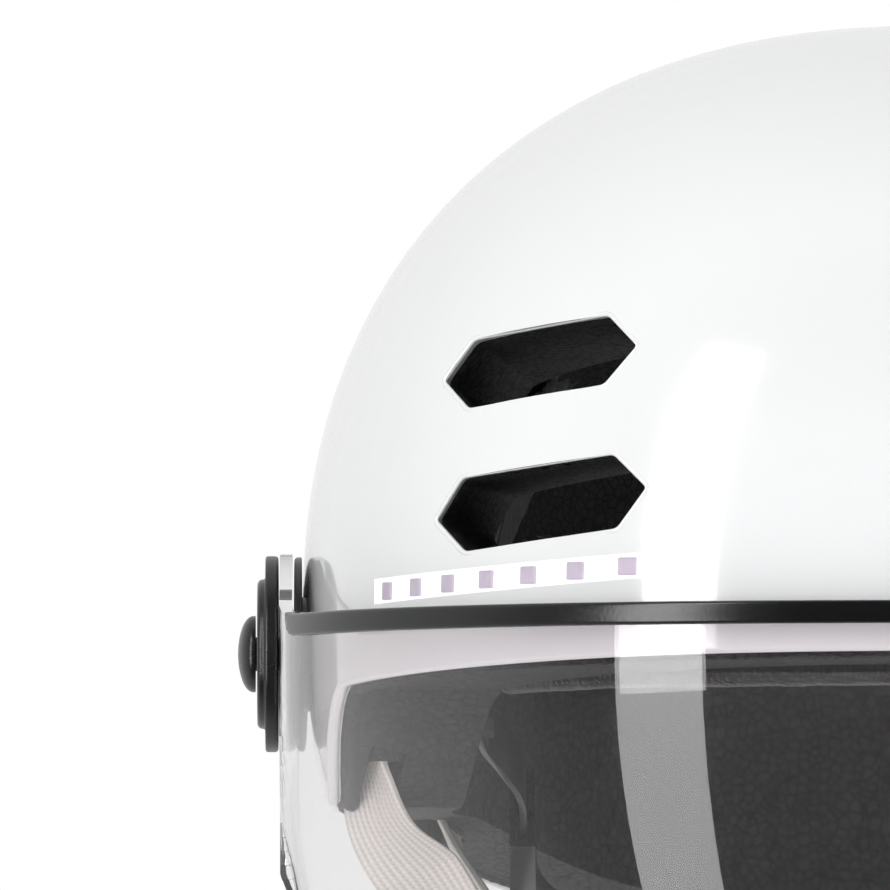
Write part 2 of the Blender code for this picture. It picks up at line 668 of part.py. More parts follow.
for label, side in SIDES:
    arm = ring_band(f"headband_{label}", arm_path(side, 68), BAND_WALL, 0.0, BAND_HEIGHT / 2, BLACK)
    stud_point = FIT_POINT + FIT_TURN @ Vector((side * 0.0808, -0.0125, 0))
    stud = turned(f"headband_stud_{label}", [(0, 0.0070), (0.0030, 0.0070), (0.0030, -0.0025), (0, -0.0025)],
                  16, stud_point, (side, 0, 0))
    boolean(arm, stud, "UNION")
    rack = ring_band(f"headband_rack_{label}", rack_path(side), BAND_WALL, 0.0, 0.0009)
    rack.data.transform(Matrix.Translation(FIT_TURN @ Vector((0, 0, side * (PINION_RADIUS + GAP + 0.0009)))))
    boolean(arm, rack, "UNION")
    boolean(liner, turned(f"headband_hole_{label}", [(0, 0.0080), (0.0034, 0.0080), (0.0034, -0.0060),
                                                     (0, -0.0060)], 16, stud_point, (side, 0, 0)))

cradle = ring_band("fit_cradle", cradle_path(0.030, 18), 0.0046, 0.0, 0.0070, BLACK)
DIAL_V = RING_CORNER + RING_DEPTH
housing = fit_turned("dial_housing", [(0, 0.0075), (0.0165, 0.0075), (0.0180, 0.0060),
                                      (0.0180, -0.0020), (0, -0.0020)], 24, (0, DIAL_V, 0))
boolean(cradle, housing, "UNION")
boolean(cradle, ring_band("cradle_slot", cradle_path(0.028, 18), BAND_WALL + 0.0010, 0.0,
                          BAND_HEIGHT / 2 + 0.0005))
boolean(cradle, fit_turned("dial_bore", [(0, 0.0200), (0.0066, 0.0200), (0.0066, 0.0003), (0, 0.0003)],
                           24, (0, DIAL_V, 0)))

dial = fit_turned("fit_dial", [(0, 0.0165), (0.0105, 0.0165), (0.0125, 0.0150), (0.0125, 0.0078),
                               (0.0060, 0.0078), (0.0060, 0.0025), (PINION_RADIUS, 0.0025),
                               (PINION_RADIUS, -0.0005), (0, -0.0005)], 24, (0, DIAL_V, 0), RUBBER)
for number in range(10):
    angle = 2 * math.pi * number / 10
    point = FIT_POINT + FIT_TURN @ Vector((0.0135 * math.cos(angle), DIAL_V + 0.0120,
                                           0.0135 * math.sin(angle)))
    boolean(dial, turned(f"dial_flute_{number}", [(0, 0.0060), (0.0020, 0.0060), (0.0020, -0.0060),
                                                  (0, -0.0060)], 6, point, FIT_TURN @ Vector((0, 1, 0))))


# ---- Comfort pads -------------------------------------------------------------------------
def pad_on_cavity(name, keep, thickness, grow=0.0):
    """A pad lining the head cavity, kept where keep stands."""
    pad = cavity_form(name, GAP - grow, FABRIC)
    boolean(pad, keep, "INTERSECT")
    boolean(pad, cavity_form(name + "_inside", GAP + thickness))
    return pad


BROW_HALF = math.radians(58)
brow_keep = plate("brow_pad_keep", [(0, 0.060), *[
    (0.150 * math.sin(a), -0.150 * math.cos(a))
    for a in [-BROW_HALF + 2 * BROW_HALF * i / 6 for i in range(7)]]], 0.0260)
brow_keep.data.transform(Matrix.Translation((0, 0, 0.0043)))
pad_on_cavity("brow_pad", brow_keep, 0.0070)

for label, side in SIDES:
    keep = plate(f"side_pad_keep_{label}", [(0.014, -0.020), (0.064, -0.014), (0.072, 0.004), (0.062, 0.020),
                                            (0.022, 0.020), (0.006, 0.004)], 0.060)
    keep.data.transform(Matrix(((0, 0, 1, side * 0.075), (1, 0, 0, 0), (0, 1, 0, 0.030), (0, 0, 0, 1))))
    pad_on_cavity(f"side_pad_{label}", keep, 0.0060)

crown_keep = plate("crown_pad_keep", [(0.024 * math.cos(a), DOME_Y + 0.034 * math.sin(a))
                                      for a in [2 * math.pi * i / 16 for i in range(16)]], 0.080)
crown_keep.data.transform(Matrix.Translation((0, 0, 0.080)))
pad_on_cavity("crown_pad", crown_keep, 0.0060)


def nape_pad_path(offset):
    """The run of the cradle's pad behind the head."""
    return [ring_point(48 + 84 * i / 12, offset) for i in range(13)]


ring_band("cradle_pad", nape_pad_path, 0.0050, -0.0023 - GAP - 0.0025, 0.0085, FABRIC)


# ---- Straps, dividers and their anchors ----------------------------------------------------
DIVIDER_POINT = Vector((0.066, 0.020, -0.062))
DIVIDER_NORMAL = Vector((0.777, 0.014, -0.628))
DIVIDER_DOWN = Vector((-0.40, -0.28, -0.87))
DIVIDER_SIZE = (0.022, 0.021, 0.0080)
STRAP_SPLIT = 0.0014        # the front and rear straps pass the divider one over the other

FRONT_STRAP = [(0.0990, -0.013, -0.0130), (0.0990, -0.012, -0.0200), (0.0965, -0.009, -0.0310),
               (0.0870, 0.000, -0.0425), (0.0765, 0.010, -0.0520), (0.0680, 0.0185, -0.0605)]
FRONT_NORMALS = [(0.97, -0.24, 0.0), (0.88, -0.47, -0.02), (0.40, -0.90, -0.15),
                 (0.66, -0.52, -0.50), (0.777, 0.014, -0.628), (0.777, 0.014, -0.628)]
REAR_STRAP = [(0.0900, 0.080, -0.0200), (0.0890, 0.079, -0.0290), (0.0840, 0.066, -0.0390),
              (0.0760, 0.044, -0.0490), (0.0690, 0.025, -0.0590)]
REAR_NORMALS = [(0.96, 0.28, 0.0), (0.95, 0.28, -0.10), (0.86, 0.18, -0.45),
                (0.80, 0.06, -0.60), (0.777, 0.014, -0.628)]
LEFT_CHIN = [(0.0624, 0.0183, -0.0665), (0.0554, 0.0145, -0.0768), (0.0490, 0.0055, -0.0940),
             (0.0369, -0.0015, -0.1067)]
LEFT_CHIN_NORMALS = [(0.777, 0.014, -0.628), (0.80, 0.0, -0.60), (0.66, 0.0, -0.75), (0.45, 0.0, -0.89)]
RIGHT_CHIN = [(-0.0624, 0.0183, -0.0665), (-0.0554, 0.0145, -0.0768), (-0.0450, 0.0030, -0.0995),
              (-0.0240, -0.0060, -0.1160), (-0.0010, -0.0090, -0.1215), (0.0216, -0.0055, -0.1153)]
RIGHT_CHIN_NORMALS = [(-0.777, 0.014, -0.628), (-0.80, 0.0, -0.60), (-0.60, 0.0, -0.80),
                      (-0.38, 0.0, -0.92), (0.02, 0.0, -1.0), (0.45, 0.0, -0.89)]


def strap(name, knots, normals, count, width, thickness, lift=0.0, finish=None):
    """Webbing through hand-set points, lying square to the normals given for them."""
    route = spread([Vector(p) for p in knots], count)
    facing = [n.normalized() for n in spread([Vector(n) for n in normals], count)]
    along = [(route[min(i + 1, count - 1)] - route[max(i - 1, 0)]).normalized() for i in range(count)]
    across = [n.cross(t) for n, t in zip(facing, along)]
    return ribbon(name, [p + n * lift for p, n in zip(route, facing)], across, width, thickness, finish)


def strap_and_room(name, knots, normals, count, lift, holders):
    """A strap, and the clear way it needs through each of its holders."""
    made = strap(name, knots, normals, count, WEB_WIDTH, WEB_THICK, lift, WEBBING)
    longer = [Vector(p) for p in knots]
    longer[0] += (longer[0] - longer[1]).normalized() * 0.0008
    longer[-1] += (longer[-1] - longer[-2]).normalized() * 0.0008
    room = strap(name + "_room", longer, normals, count, WEB_WIDTH + 0.0012, WEB_THICK + 0.0010, lift)
    for holder in holders:
        boolean(holder, room)
    return made


for label, side in SIDES:
    front, rear = mirrored(FRONT_STRAP, side), mirrored(REAR_STRAP, side)
    middle = mirrored([DIVIDER_POINT], side)[0]
    facing, down = mirrored([DIVIDER_NORMAL, DIVIDER_DOWN], side)
    turn = frame_along(facing, down)
    divider = block(f"strap_divider_{label}", DIVIDER_SIZE, middle, turn, BLACK)
    hinge = turn @ Vector((DIVIDER_SIZE[0] / 2 - 0.0022, 0, DIVIDER_SIZE[2] / 2 + 0.0002))
    hinge_axis = turn @ Vector((0, 1, 0))
    boolean(divider, turned(f"lever_notch_{label}", [(0, 0.0120), (0.0021, 0.0120), (0.0021, -0.0120),
                                                     (0, -0.0120)], 16, middle + hinge, hinge_axis))
    lever = turned(f"divider_lever_{label}", [(0, 0.0098), (0.0017, 0.0098), (0.0017, -0.0098),
                                              (0, -0.0098)], 16, middle + hinge, hinge_axis, BLACK)
    flap_size = (0.0185, 0.0180, 0.0014)
    lever_plate = block(f"lever_plate_{label}", flap_size, middle + turn @ Vector(
        (-0.0002, 0, DIVIDER_SIZE[2] / 2 + 0.0010)), turn)
    boolean(lever, lever_plate, "UNION")

    for place_name, knots, normals in (("front", front, mirrored(FRONT_NORMALS, side)),
                                       ("rear", rear, mirrored(REAR_NORMALS, side))):
        outward = normals[0].normalized()
        anchor_turn = frame_along(outward, (0, 0, 1))
        anchor = block(f"{place_name}_anchor_{label}", (0.0090, 0.0220, 0.0054),
                       knots[0] + Vector((0, 0, -0.0016)), anchor_turn, BLACK)
        room = block(f"{place_name}_anchor_room_{label}", (0.0096 + 0.020, 0.0226, 0.0060),
                     knots[0] + Vector((0, 0, -0.0116)), anchor_turn)
        boolean(liner, room)
        strap_and_room(f"{place_name}_strap_{label}", knots, normals, 14,
                       STRAP_SPLIT if place_name == "front" else -STRAP_SPLIT,
                       [anchor, divider, liner])


# ---- Chin straps and the sideways buckle ---------------------------------------------------
BUCKLE_POINT = Vector((0.0293, -0.0035, -0.1110))
BUCKLE_TURN = frame_along((0.45, 0.0, -0.89), (0.849, 0.224, 0.481))


def buckle_block(name, low, high, finish=None):
    """A box between two corners in the buckle's own frame: along the strap, forward, outward."""
    low, high = Vector(low), Vector(high)
    return block(name, high - low, BUCKLE_POINT + BUCKLE_TURN @ ((low + high) / 2), BUCKLE_TURN, finish)


buckle_socket = buckle_block("buckle_socket", (-0.0160, -0.0120, -0.0046), (0.0030, 0.0120, 0.0046), BLACK)
boolean(buckle_socket, buckle_block("socket_head_way", (-0.0050, -0.0105, -0.0031),
                                    (-0.0014, 0.0140, 0.0031)))
boolean(buckle_socket, buckle_block("socket_neck_way", (-0.0020, -0.0105, -0.0019), (0.0060, 0.0140, 0.0019)))

buckle_plug = buckle_block("buckle_plug", (0.0034, -0.0115, -0.0042), (0.0160, 0.0115, 0.0042), BLACK)
boolean(buckle_plug, buckle_block("plug_neck", (-0.0030, -0.0100, -0.0016),
                                  (0.0050, 0.0112, 0.0016)), "UNION")
boolean(buckle_plug, buckle_block("plug_head", (-0.0047, -0.0102, -0.0028),
                                  (-0.0017, 0.0114, 0.0028)), "UNION")

left_divider = bpy.data.objects["strap_divider_left"]
right_divider = bpy.data.objects["strap_divider_right"]


def stretch_of(knots, start, end):
    """Some of a strap's points, for a piece that rides on it."""
    return spread([Vector(p) for p in knots], 22)[start:end]


keeper = strap("webbing_keeper", stretch_of(LEFT_CHIN, 9, 12), stretch_of(LEFT_CHIN_NORMALS, 9, 12), 3,
               WEB_WIDTH + 0.0040, 0.0052, 0.0, RUBBER)
chin_pad = strap("chin_pad", stretch_of(RIGHT_CHIN, 8, 16), stretch_of(RIGHT_CHIN_NORMALS, 8, 16), 8,
                 WEB_WIDTH + 0.0090, 0.0070, 0.0, FABRIC)

strap_and_room("chin_strap_left", LEFT_CHIN, LEFT_CHIN_NORMALS, 12, 0.0, [left_divider, buckle_plug, keeper])
strap_and_room("chin_strap_right", RIGHT_CHIN, RIGHT_CHIN_NORMALS, 22, 0.0,
               [right_divider, buckle_socket, chin_pad])


# ---- Wiring between the control board and the front lights ---------------------------------
def tube(name, route, sideways, radius, sides, finish):
    """A round cable along route."""
    bm = bmesh.new()
    rings = []
    for i, (point, side) in enumerate(zip(route, sideways)):
        along = (route[min(i + 1, len(route) - 1)] - route[max(i - 1, 0)]).normalized()
        turn = frame_along(along, side)
        ring = [Vector((radius * math.cos(a), radius * math.sin(a), 0))
                for a in [2 * math.pi * k / sides for k in range(sides)]]
        rings.append([bm.verts.new(point + turn @ v) for v in ring])
    for low, high in zip(rings, rings[1:]):
        for k in range(sides):
            bm.faces.new((low[k], low[(k + 1) % sides], high[(k + 1) % sides], high[k]))
    bm.faces.new(rings[0])
    bm.faces.new(rings[-1])
    return from_bmesh(name, bm, finish)


WIRE_INSET = 0.0042
WIRE_POINTS = 15


def wire_place(share):
    """Plan angle round the dome and height of the cable, share along its run from back to front."""
    angle = math.radians(79 - 108 * share)
    height = 0.0120 + 0.0060 * smooth_step(share / 0.25) - 0.0070 * smooth_step((share - 0.72) / 0.28)
    return angle, height


for label, side in SIDES:
    route, outward = [], []
    half_x, half_y = SHELL_WIDTH / 2 - WIRE_INSET, SHELL_LENGTH / 2 - WIRE_INSET
    for i in range(WIRE_POINTS):
        angle, height = wire_place(i / (WIRE_POINTS - 1))
        across, back = math.cos(angle), math.sin(angle)
        level = abs((height - DOME_Z) / CROWN_RISE) ** ROUNDNESS
        size = ((abs(across) ** ROUNDNESS + abs(back) ** ROUNDNESS) / (1 - level)) ** (1 / ROUNDNESS)
        point = Vector((side * half_x * across / size, DOME_Y + half_y * back / size, height))
        route.append(point)
        outward.append(dome_point(point.x, height, WIRE_INSET, rear=back > 0)[1])
    tube(f"wiring_{label}", route, outward, 0.0009, 6, RUBBER)
    boolean(liner, ribbon(f"wiring_way_{label}", route, outward, 0.0036, 0.0026, None))
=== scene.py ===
"""Round urban riding helmet with a flip-up clear visor, lights and a dial fit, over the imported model.

Metres, +Z up, the wearer faces -Y and the wearer's left is +X. The origin is midway between the visor pivots.
"""

import math

import bpy
from mathutils import Matrix, Vector, noise
from mathutils.bvhtree import BVHTree
from mathutils.geometry import barycentric_transform


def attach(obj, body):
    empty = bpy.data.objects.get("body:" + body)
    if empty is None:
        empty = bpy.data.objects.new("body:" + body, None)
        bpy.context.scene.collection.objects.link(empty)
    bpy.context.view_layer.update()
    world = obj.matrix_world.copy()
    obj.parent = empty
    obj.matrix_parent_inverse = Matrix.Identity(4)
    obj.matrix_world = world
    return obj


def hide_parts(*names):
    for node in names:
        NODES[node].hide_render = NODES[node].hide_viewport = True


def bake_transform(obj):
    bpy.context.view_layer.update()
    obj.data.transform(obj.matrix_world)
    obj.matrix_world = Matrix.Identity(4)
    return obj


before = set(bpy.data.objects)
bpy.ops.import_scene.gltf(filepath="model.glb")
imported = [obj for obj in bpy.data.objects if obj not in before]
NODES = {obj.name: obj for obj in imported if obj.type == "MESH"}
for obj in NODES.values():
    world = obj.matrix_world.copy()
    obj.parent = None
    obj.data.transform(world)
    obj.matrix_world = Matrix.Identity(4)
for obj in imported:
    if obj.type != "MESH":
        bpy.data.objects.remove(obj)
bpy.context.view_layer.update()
SIDES = (("left", 1), ("right", -1))


# ---- Studio: camera, floor and soft light ---------------------------------------------------
# A long lens level with the visor looks slightly up at the wearer's right brow. The room is white,
# with one tall narrow softbox in front to the wearer's right and two broad dim ones in front and above.
CAMERA_AWAY = 4.0
CAMERA_TILT = math.radians(-2.0)
AIM = Vector((-0.0868, 0.0, 0.0367))
VIEW_WIDTH = 0.1561
SENSOR = 36.0

looking = Vector((0, math.cos(CAMERA_TILT), -math.sin(CAMERA_TILT)))
camera_data = bpy.data.cameras.new("camera")
camera_data.sensor_width = SENSOR
camera_data.lens = SENSOR * CAMERA_AWAY / VIEW_WIDTH
camera_data.clip_start, camera_data.clip_end = 0.1, 50
camera = bpy.data.objects.new("camera", camera_data)
camera.location = AIM - looking * CAMERA_AWAY
camera.rotation_euler = looking.to_track_quat("-Z", "Y").to_euler()
bpy.context.scene.collection.objects.link(camera)
bpy.context.scene.camera = camera
bpy.context.scene.view_settings.view_transform = "Standard"

world = bpy.data.worlds.new("white_room")
bpy.context.scene.world = world
world.use_nodes = True
room = world.node_tree
room.nodes.clear()
seen, lit, pick, facing_of, parts, wall, rays, world_out = (room.nodes.new(kind) for kind in (
    "ShaderNodeBackground", "ShaderNodeBackground", "ShaderNodeMixShader", "ShaderNodeTexCoord",
    "ShaderNodeSeparateXYZ", "ShaderNodeMapRange", "ShaderNodeLightPath", "ShaderNodeOutputWorld"))
seen.inputs["Color"].default_value = (1, 1, 1, 1)
lit.inputs["Color"].default_value = (0.99, 1.0, 0.99, 1)
wall.interpolation_type = "SMOOTHSTEP"
for number, value in ((1, -0.55), (2, 0.1), (3, 0.05), (4, 0.86)):
    wall.inputs[number].default_value = value
for start, end in ((facing_of.outputs["Generated"], parts.inputs[0]), (parts.outputs["Y"], wall.inputs[0]),
                   (wall.outputs[0], lit.inputs["Strength"]),
                   (rays.outputs["Is Camera Ray"], pick.inputs[0]),
                   (lit.outputs[0], pick.inputs[1]), (seen.outputs[0], pick.inputs[2]),
                   (pick.outputs[0], world_out.inputs[0])):
    room.links.new(start, end)


def softbox(name, azimuth, distance, height, size, watts, fill=False, level=False):
    """A rectangular softbox; azimuth 0 is in front of the wearer and 90 to the wearer's right.

    A fill softbox is hidden from gloss rays, so it lights without showing in the gloss."""
    data = bpy.data.lights.new(name, "AREA")
    data.shape = "RECTANGLE"
    data.size, data.size_y = size
    data.energy = watts
    made = bpy.data.objects.new(name, data)
    turn = math.radians(azimuth)
    made.location = (-math.sin(turn) * distance, -math.cos(turn) * distance, height)
    facing = Vector((0, 0, height if level else 0.03)) - made.location
    made.rotation_euler = facing.to_track_quat("-Z", "Y").to_euler()
    made.visible_camera = False
    made.visible_glossy = made.visible_transmission = not fill
    made.visible_diffuse = fill
    bpy.context.scene.collection.objects.link(made)
    return made


softbox("tall_softbox", 46, 1.7, 0.51, (0.50, 2.76), 32.0, level=True)
softbox("front_fill", 10, 2.6, 0.6, (2.4, 2.4), 56.0, fill=True)
softbox("top_fill", 10, 0.5, 2.6, (2.4, 2.4), 12.0, fill=True)

FLOOR_Z = -0.1248
bpy.ops.object.select_all(action="DESELECT")
bpy.ops.mesh.primitive_circle_add(vertices=96, radius=7.0, fill_type="NGON", location=(0, 0, FLOOR_Z))
floor = bpy.context.object
floor.name = "floor"
floor.visible_glossy = floor.visible_shadow = False
floor_paint = bpy.data.materials.new("floor_paint")
floor_paint.use_nodes = True
floor_shader = floor_paint.node_tree.nodes["Principled BSDF"]
floor_shader.inputs["Base Color"].default_value = (0.86, 0.86, 0.87, 1)
floor_shader.inputs["Roughness"].default_value = 0.6
floor_shader.inputs["Emission Color"].default_value = (1, 1, 1, 1)
floor_shader.inputs["Emission Strength"].default_value = 0.12
floor.data.materials.append(floor_paint)


# ---- Outer shell ----------------------------------------------------------------------------
# A thermoformed 2.2 mm gloss white plastic dome, trimmed at the rim and cut for eight vents, the
# lights, the button and the charging flap. The rim and each vent's edge are rolled to a small round lip.
ROUNDNESS = 2.3
DOME_HALF = Vector((0.112, 0.1425, 0.106))
DOME_MIDDLE = Vector((0, 0.0225, 0.005))
SHELL_WALL = 0.0022
GAP = 0.0003


def deselect():
    bpy.ops.object.select_all(action="DESELECT")


def only(piece):
    """Makes piece the one selected and active object."""
    deselect()
    piece.select_set(True)
    bpy.context.view_layer.objects.active = piece


def linked(name, mesh):
    piece = bpy.data.objects.new(name, mesh)
    bpy.context.scene.collection.objects.link(piece)
    return piece


def started(name, add, **settings):
    """Adds a primitive and names it."""
    deselect()
    add(**settings)
    piece = bpy.context.object
    piece.name = piece.data.name = name
    return piece


def finished_by(piece, kind, **settings):
    """Adds a modifier with these settings and applies it."""
    only(piece)
    step = piece.modifiers.new(kind.lower(), kind)
    for key, value in settings.items():
        setattr(step, key, value)
    bpy.ops.object.modifier_apply(modifier=step.name)
    return piece


def cut_by(piece, tool, operation="DIFFERENCE", solver="MANIFOLD"):
    """Cuts piece by a helper solid, which is then removed."""
    finished_by(piece, "BOOLEAN", operation=operation, object=tool, solver=solver)
    bpy.data.objects.remove(tool)
    return piece


def ball_place(co, half, straight=False):
    """A point of the unit sphere moved onto a rounded-square ball; straight makes the lower half a wall."""
    x, y, z = co
    if straight and z < 0 and math.hypot(x, y) > 1e-6:
        size = (abs(x) ** ROUNDNESS + abs(y) ** ROUNDNESS) ** (1 / ROUNDNESS)
        x, y = x / size, y / size
    else:
        size = (abs(x) ** ROUNDNESS + abs(y) ** ROUNDNESS + abs(z) ** ROUNDNESS) ** (1 / ROUNDNESS)
        x, y, z = x / size, y / size, z / size
    return DOME_MIDDLE + Vector((x * half.x, y * half.y, z * half.z))


def ball(name, half, straight=False, segments=128, rings=64):
    """A closed rounded-square ball with its half sizes."""
    piece = started(name, bpy.ops.mesh.primitive_uv_sphere_add, segments=segments, ring_count=rings,
                    radius=1)
    for vert in piece.data.vertices:
        vert.co = ball_place(vert.co, half, straight)
    piece.data.update()
    return piece


def dome_form(name, inset, **settings):
    return ball(name, DOME_HALF - Vector((inset, inset, inset)), **settings)


def smooth_step(value):
    share = min(max(value, 0.0), 1.0)
    return share * share * (3 - 2 * share)


def rim_height(y):
    """Height of the shell's lower rim, which depends only on how far back it is."""
    brow = -0.0016 - 0.052 * (y + 0.120)
    at_ear = brow + (-0.026 - brow) * smooth_step((y + 0.040) / 0.032)
    return at_ear + (-0.044 + 0.026) * smooth_step((y - 0.060) / 0.100)


def prism(name, outline, depth, placed):
    """An outline of (u, v) points made solid along its own Z, half each way, then placed by a matrix."""
    mesh = bpy.data.meshes.new(name)
    mesh.from_pydata([(u, v, -depth / 2) for u, v in outline], [], [list(range(len(outline)))])
    piece = linked(name, mesh)
    only(piece)
    bpy.ops.object.mode_set(mode="EDIT")
    bpy.ops.mesh.select_all(action="SELECT")
    bpy.ops.mesh.extrude_region_move(TRANSFORM_OT_translate={"value": (0, 0, depth)})
    bpy.ops.mesh.select_all(action="SELECT")
    bpy.ops.object.mode_set(mode="OBJECT")
    mesh.transform(placed)
    only(piece)
    bpy.ops.object.mode_set(mode="EDIT")
    bpy.ops.mesh.select_all(action="SELECT")
    bpy.ops.mesh.normals_make_consistent(inside=False)
    bpy.ops.object.mode_set(mode="OBJECT")
    return piece


ALONG_X = Matrix(((0, 0, 1, 0), (1, 0, 0, 0), (0, 1, 0, 0), (0, 0, 0, 1)))


def along_y(middle):
    """Stands an (x, z) outline up, with its depth along Y about middle."""
    return Matrix(((1, 0, 0, 0), (0, 0, -1, middle), (0, 1, 0, 0), (0, 0, 0, 1)))


def side_prism(name, outline):
    return prism(name, outline, 0.40, ALONG_X)


def front_prism(name, outline, rear=False, depth=0.150):
    return prism(name, outline, depth, along_y(DOME_MIDDLE.y + (depth / 2 + 0.030) * (1 if rear else -1)))


def rounded(outline, cut, steps=5):
    """The outline with each corner turned by a curve that starts cut before it."""
    line = []
    for i, corner in enumerate(outline):
        corner = Vector(corner)
        before, after = Vector(outline[i - 1]) - corner, Vector(outline[(i + 1) % len(outline)]) - corner
        start = corner + before.normalized() * min(cut, before.length * 0.49)
        end = corner + after.normalized() * min(cut, after.length * 0.49)
        for k in range(steps + 1):
            t = k / steps
            line.append(start.lerp(corner, t).lerp(corner.lerp(end, t), t))
    return line


def grown(outline, by):
    """An outline that runs anticlockwise, moved outwards by by at each corner."""
    line = []
    for i, corner in enumerate(outline):
        corner = Vector(corner)
        before = (corner - Vector(outline[i - 1])).normalized()
        after = (Vector(outline[(i + 1) % len(outline)]) - corner).normalized()
        out = Vector((before.y, -before.x)) + Vector((after.y, -after.x))
        line.append(corner + out / (out.length ** 2) * 2 * by)
    return line


def frame_along(normal, along):
    """A rotation whose Z is normal and whose X is as near along as it can be."""
    z = Vector(normal).normalized()
    x = (Vector(along) - z * Vector(along).dot(z)).normalized()
    return Matrix((x, z.cross(x), z)).transposed()


def set_at(point, turn):
    return Matrix.Translation(Vector(point)) @ turn.to_4x4()


def dome_level(point, inset):
    """0 on the dome brought in by inset, above 0 outside it."""
    half = DOME_HALF - Vector((inset, inset, inset))
    share = sum(abs((p - m) / h) ** ROUNDNESS for p, m, h in zip(point, DOME_MIDDLE, half))
    return share ** (1 / ROUNDNESS) - 1


def onto_dome(point, direction, inset=0.0):
    """Moves a point along a direction until it lies on the dome brought in by inset."""
    point, step = Vector(point), Vector(direction).normalized()
    for _ in range(12):
        here = dome_level(point, inset)
        rate = (dome_level(point + step * 1e-5, inset) - here) / 1e-5
        point = point - step * (here / rate)
    return point


def dome_point(x, z, inset=0.0, rear=False):
    """(point, outward normal) on the dome brought in by inset, from its place seen from the front."""
    half = DOME_HALF - Vector((inset, inset, inset))
    share = 1 - abs(x / half.x) ** ROUNDNESS - abs((z - DOME_MIDDLE.z) / half.z) ** ROUNDNESS
    depth = half.y * max(share, 0.0) ** (1 / ROUNDNESS) * (1 if rear else -1)
    offset = Vector((x, depth, z - DOME_MIDDLE.z))
    normal = Vector([math.copysign(abs(o / h) ** (ROUNDNESS - 1) / h, o) for o, h in zip(offset, half)])
    return Vector((x, DOME_MIDDLE.y + depth, z)), normal.normalized()


def wire(name, points, radius, cyclic=False, resolution=3):
    """A round bead or wire along points, made a mesh."""
    curve = bpy.data.curves.new(name, "CURVE")
    curve.dimensions = "3D"
    curve.bevel_depth = radius
    curve.bevel_resolution = resolution
    curve.use_fill_caps = True
    spline = curve.splines.new("POLY")
    spline.points.add(len(points) - 1)
    for place, point in zip(spline.points, points):
        place.co = (*point, 1)
    spline.use_cyclic_u = cyclic
    piece = linked(name, curve)
    only(piece)
    bpy.ops.object.convert(target="MESH")
    piece = bpy.context.object
    merged(piece, 1e-7)
    piece.data.shade_smooth()
    return piece


def merged(piece, distance=1e-6):
    """Merges doubles and turns the faces outwards."""
    only(piece)
    bpy.ops.object.mode_set(mode="EDIT")
    bpy.ops.mesh.select_all(action="SELECT")
    bpy.ops.mesh.remove_doubles(threshold=distance)
    bpy.ops.mesh.normals_make_consistent(inside=False)
    bpy.ops.object.mode_set(mode="OBJECT")
    return piece


def joined(piece, *others):
    """Joins others into piece."""
    deselect()
    for each in (piece, *others):
        each.select_set(True)
    bpy.context.view_layer.objects.active = piece
    bpy.ops.object.join()
    return piece


class Smooth:
    """A smooth surface kept to give its normals to what is cut from it."""

    def __init__(self, piece):
        mesh = piece.data
        mesh.calc_loop_triangles()
        self.points = [v.co.copy() for v in mesh.vertices]
        self.normals = [v.normal.copy() for v in mesh.vertices]
        self.faces = [tuple(t.vertices) for t in mesh.loop_triangles]
        self.tree = BVHTree.FromPolygons(self.points, self.faces)

    def at(self, point):
        place, flat, index, distance = self.tree.find_nearest(point)
        a, b, c = self.faces[index]
        normal = barycentric_transform(place, self.points[a], self.points[b], self.points[c],
                                       self.normals[a], self.normals[b], self.normals[c])
        return normal.normalized(), flat, distance


def polished(piece, *sources):
    """Gives each face that lies on one of the smooth sources that source's normals."""
    mesh = piece.data
    mesh.shade_smooth()
    normals = [Vector((0, 0, 0))] * len(mesh.loops)
    for face in mesh.polygons:
        found = None
        for source in sources:
            normal, flat, distance = source.at(face.center)
            if distance < 3e-5 and abs(face.normal.dot(flat)) > 0.995:
                found = source, 1 if face.normal.dot(flat) > 0 else -1
                break
        for loop in face.loop_indices:
            if found:
                normals[loop] = found[0].at(mesh.vertices[mesh.loops[loop].vertex_index].co)[0] * found[1]
            else:
                normals[loop] = face.normal.copy()
    mesh.normals_split_custom_set(normals)
    return piece


def effect(name, inputs, outputs):
    """An empty shader node group with these float or colour sockets, and its two ends."""
    group = bpy.data.node_groups.new(name, "ShaderNodeTree")
    for label, kind, value in inputs:
        socket = group.interface.new_socket(label, in_out="INPUT", socket_type=kind)
        if value is not None:
            socket.default_value = value
    for label, kind in outputs:
        group.interface.new_socket(label, in_out="OUTPUT", socket_type=kind)
    return group, group.nodes.new("NodeGroupInput"), group.nodes.new("NodeGroupOutput")


def node(tree, kind, settings=None, **inputs):
    """Adds a node; settings are its properties, and inputs are values or sockets to link."""
    made = tree.nodes.new("ShaderNode" + kind)
    for key, value in (settings or {}).items():
        setattr(made, key, value)
    for key, value in inputs.items():
        socket = made.inputs[int(key[1:]) if key[0] == "i" and key[1:].isdigit() else key.replace("_", " ")]
        if isinstance(value, bpy.types.NodeSocket):
            tree.links.new(value, socket)
        else:
            socket.default_value = value
    return made


FLOAT, COLOUR, VECTOR = "NodeSocketFloat", "NodeSocketColor", "NodeSocketVector"

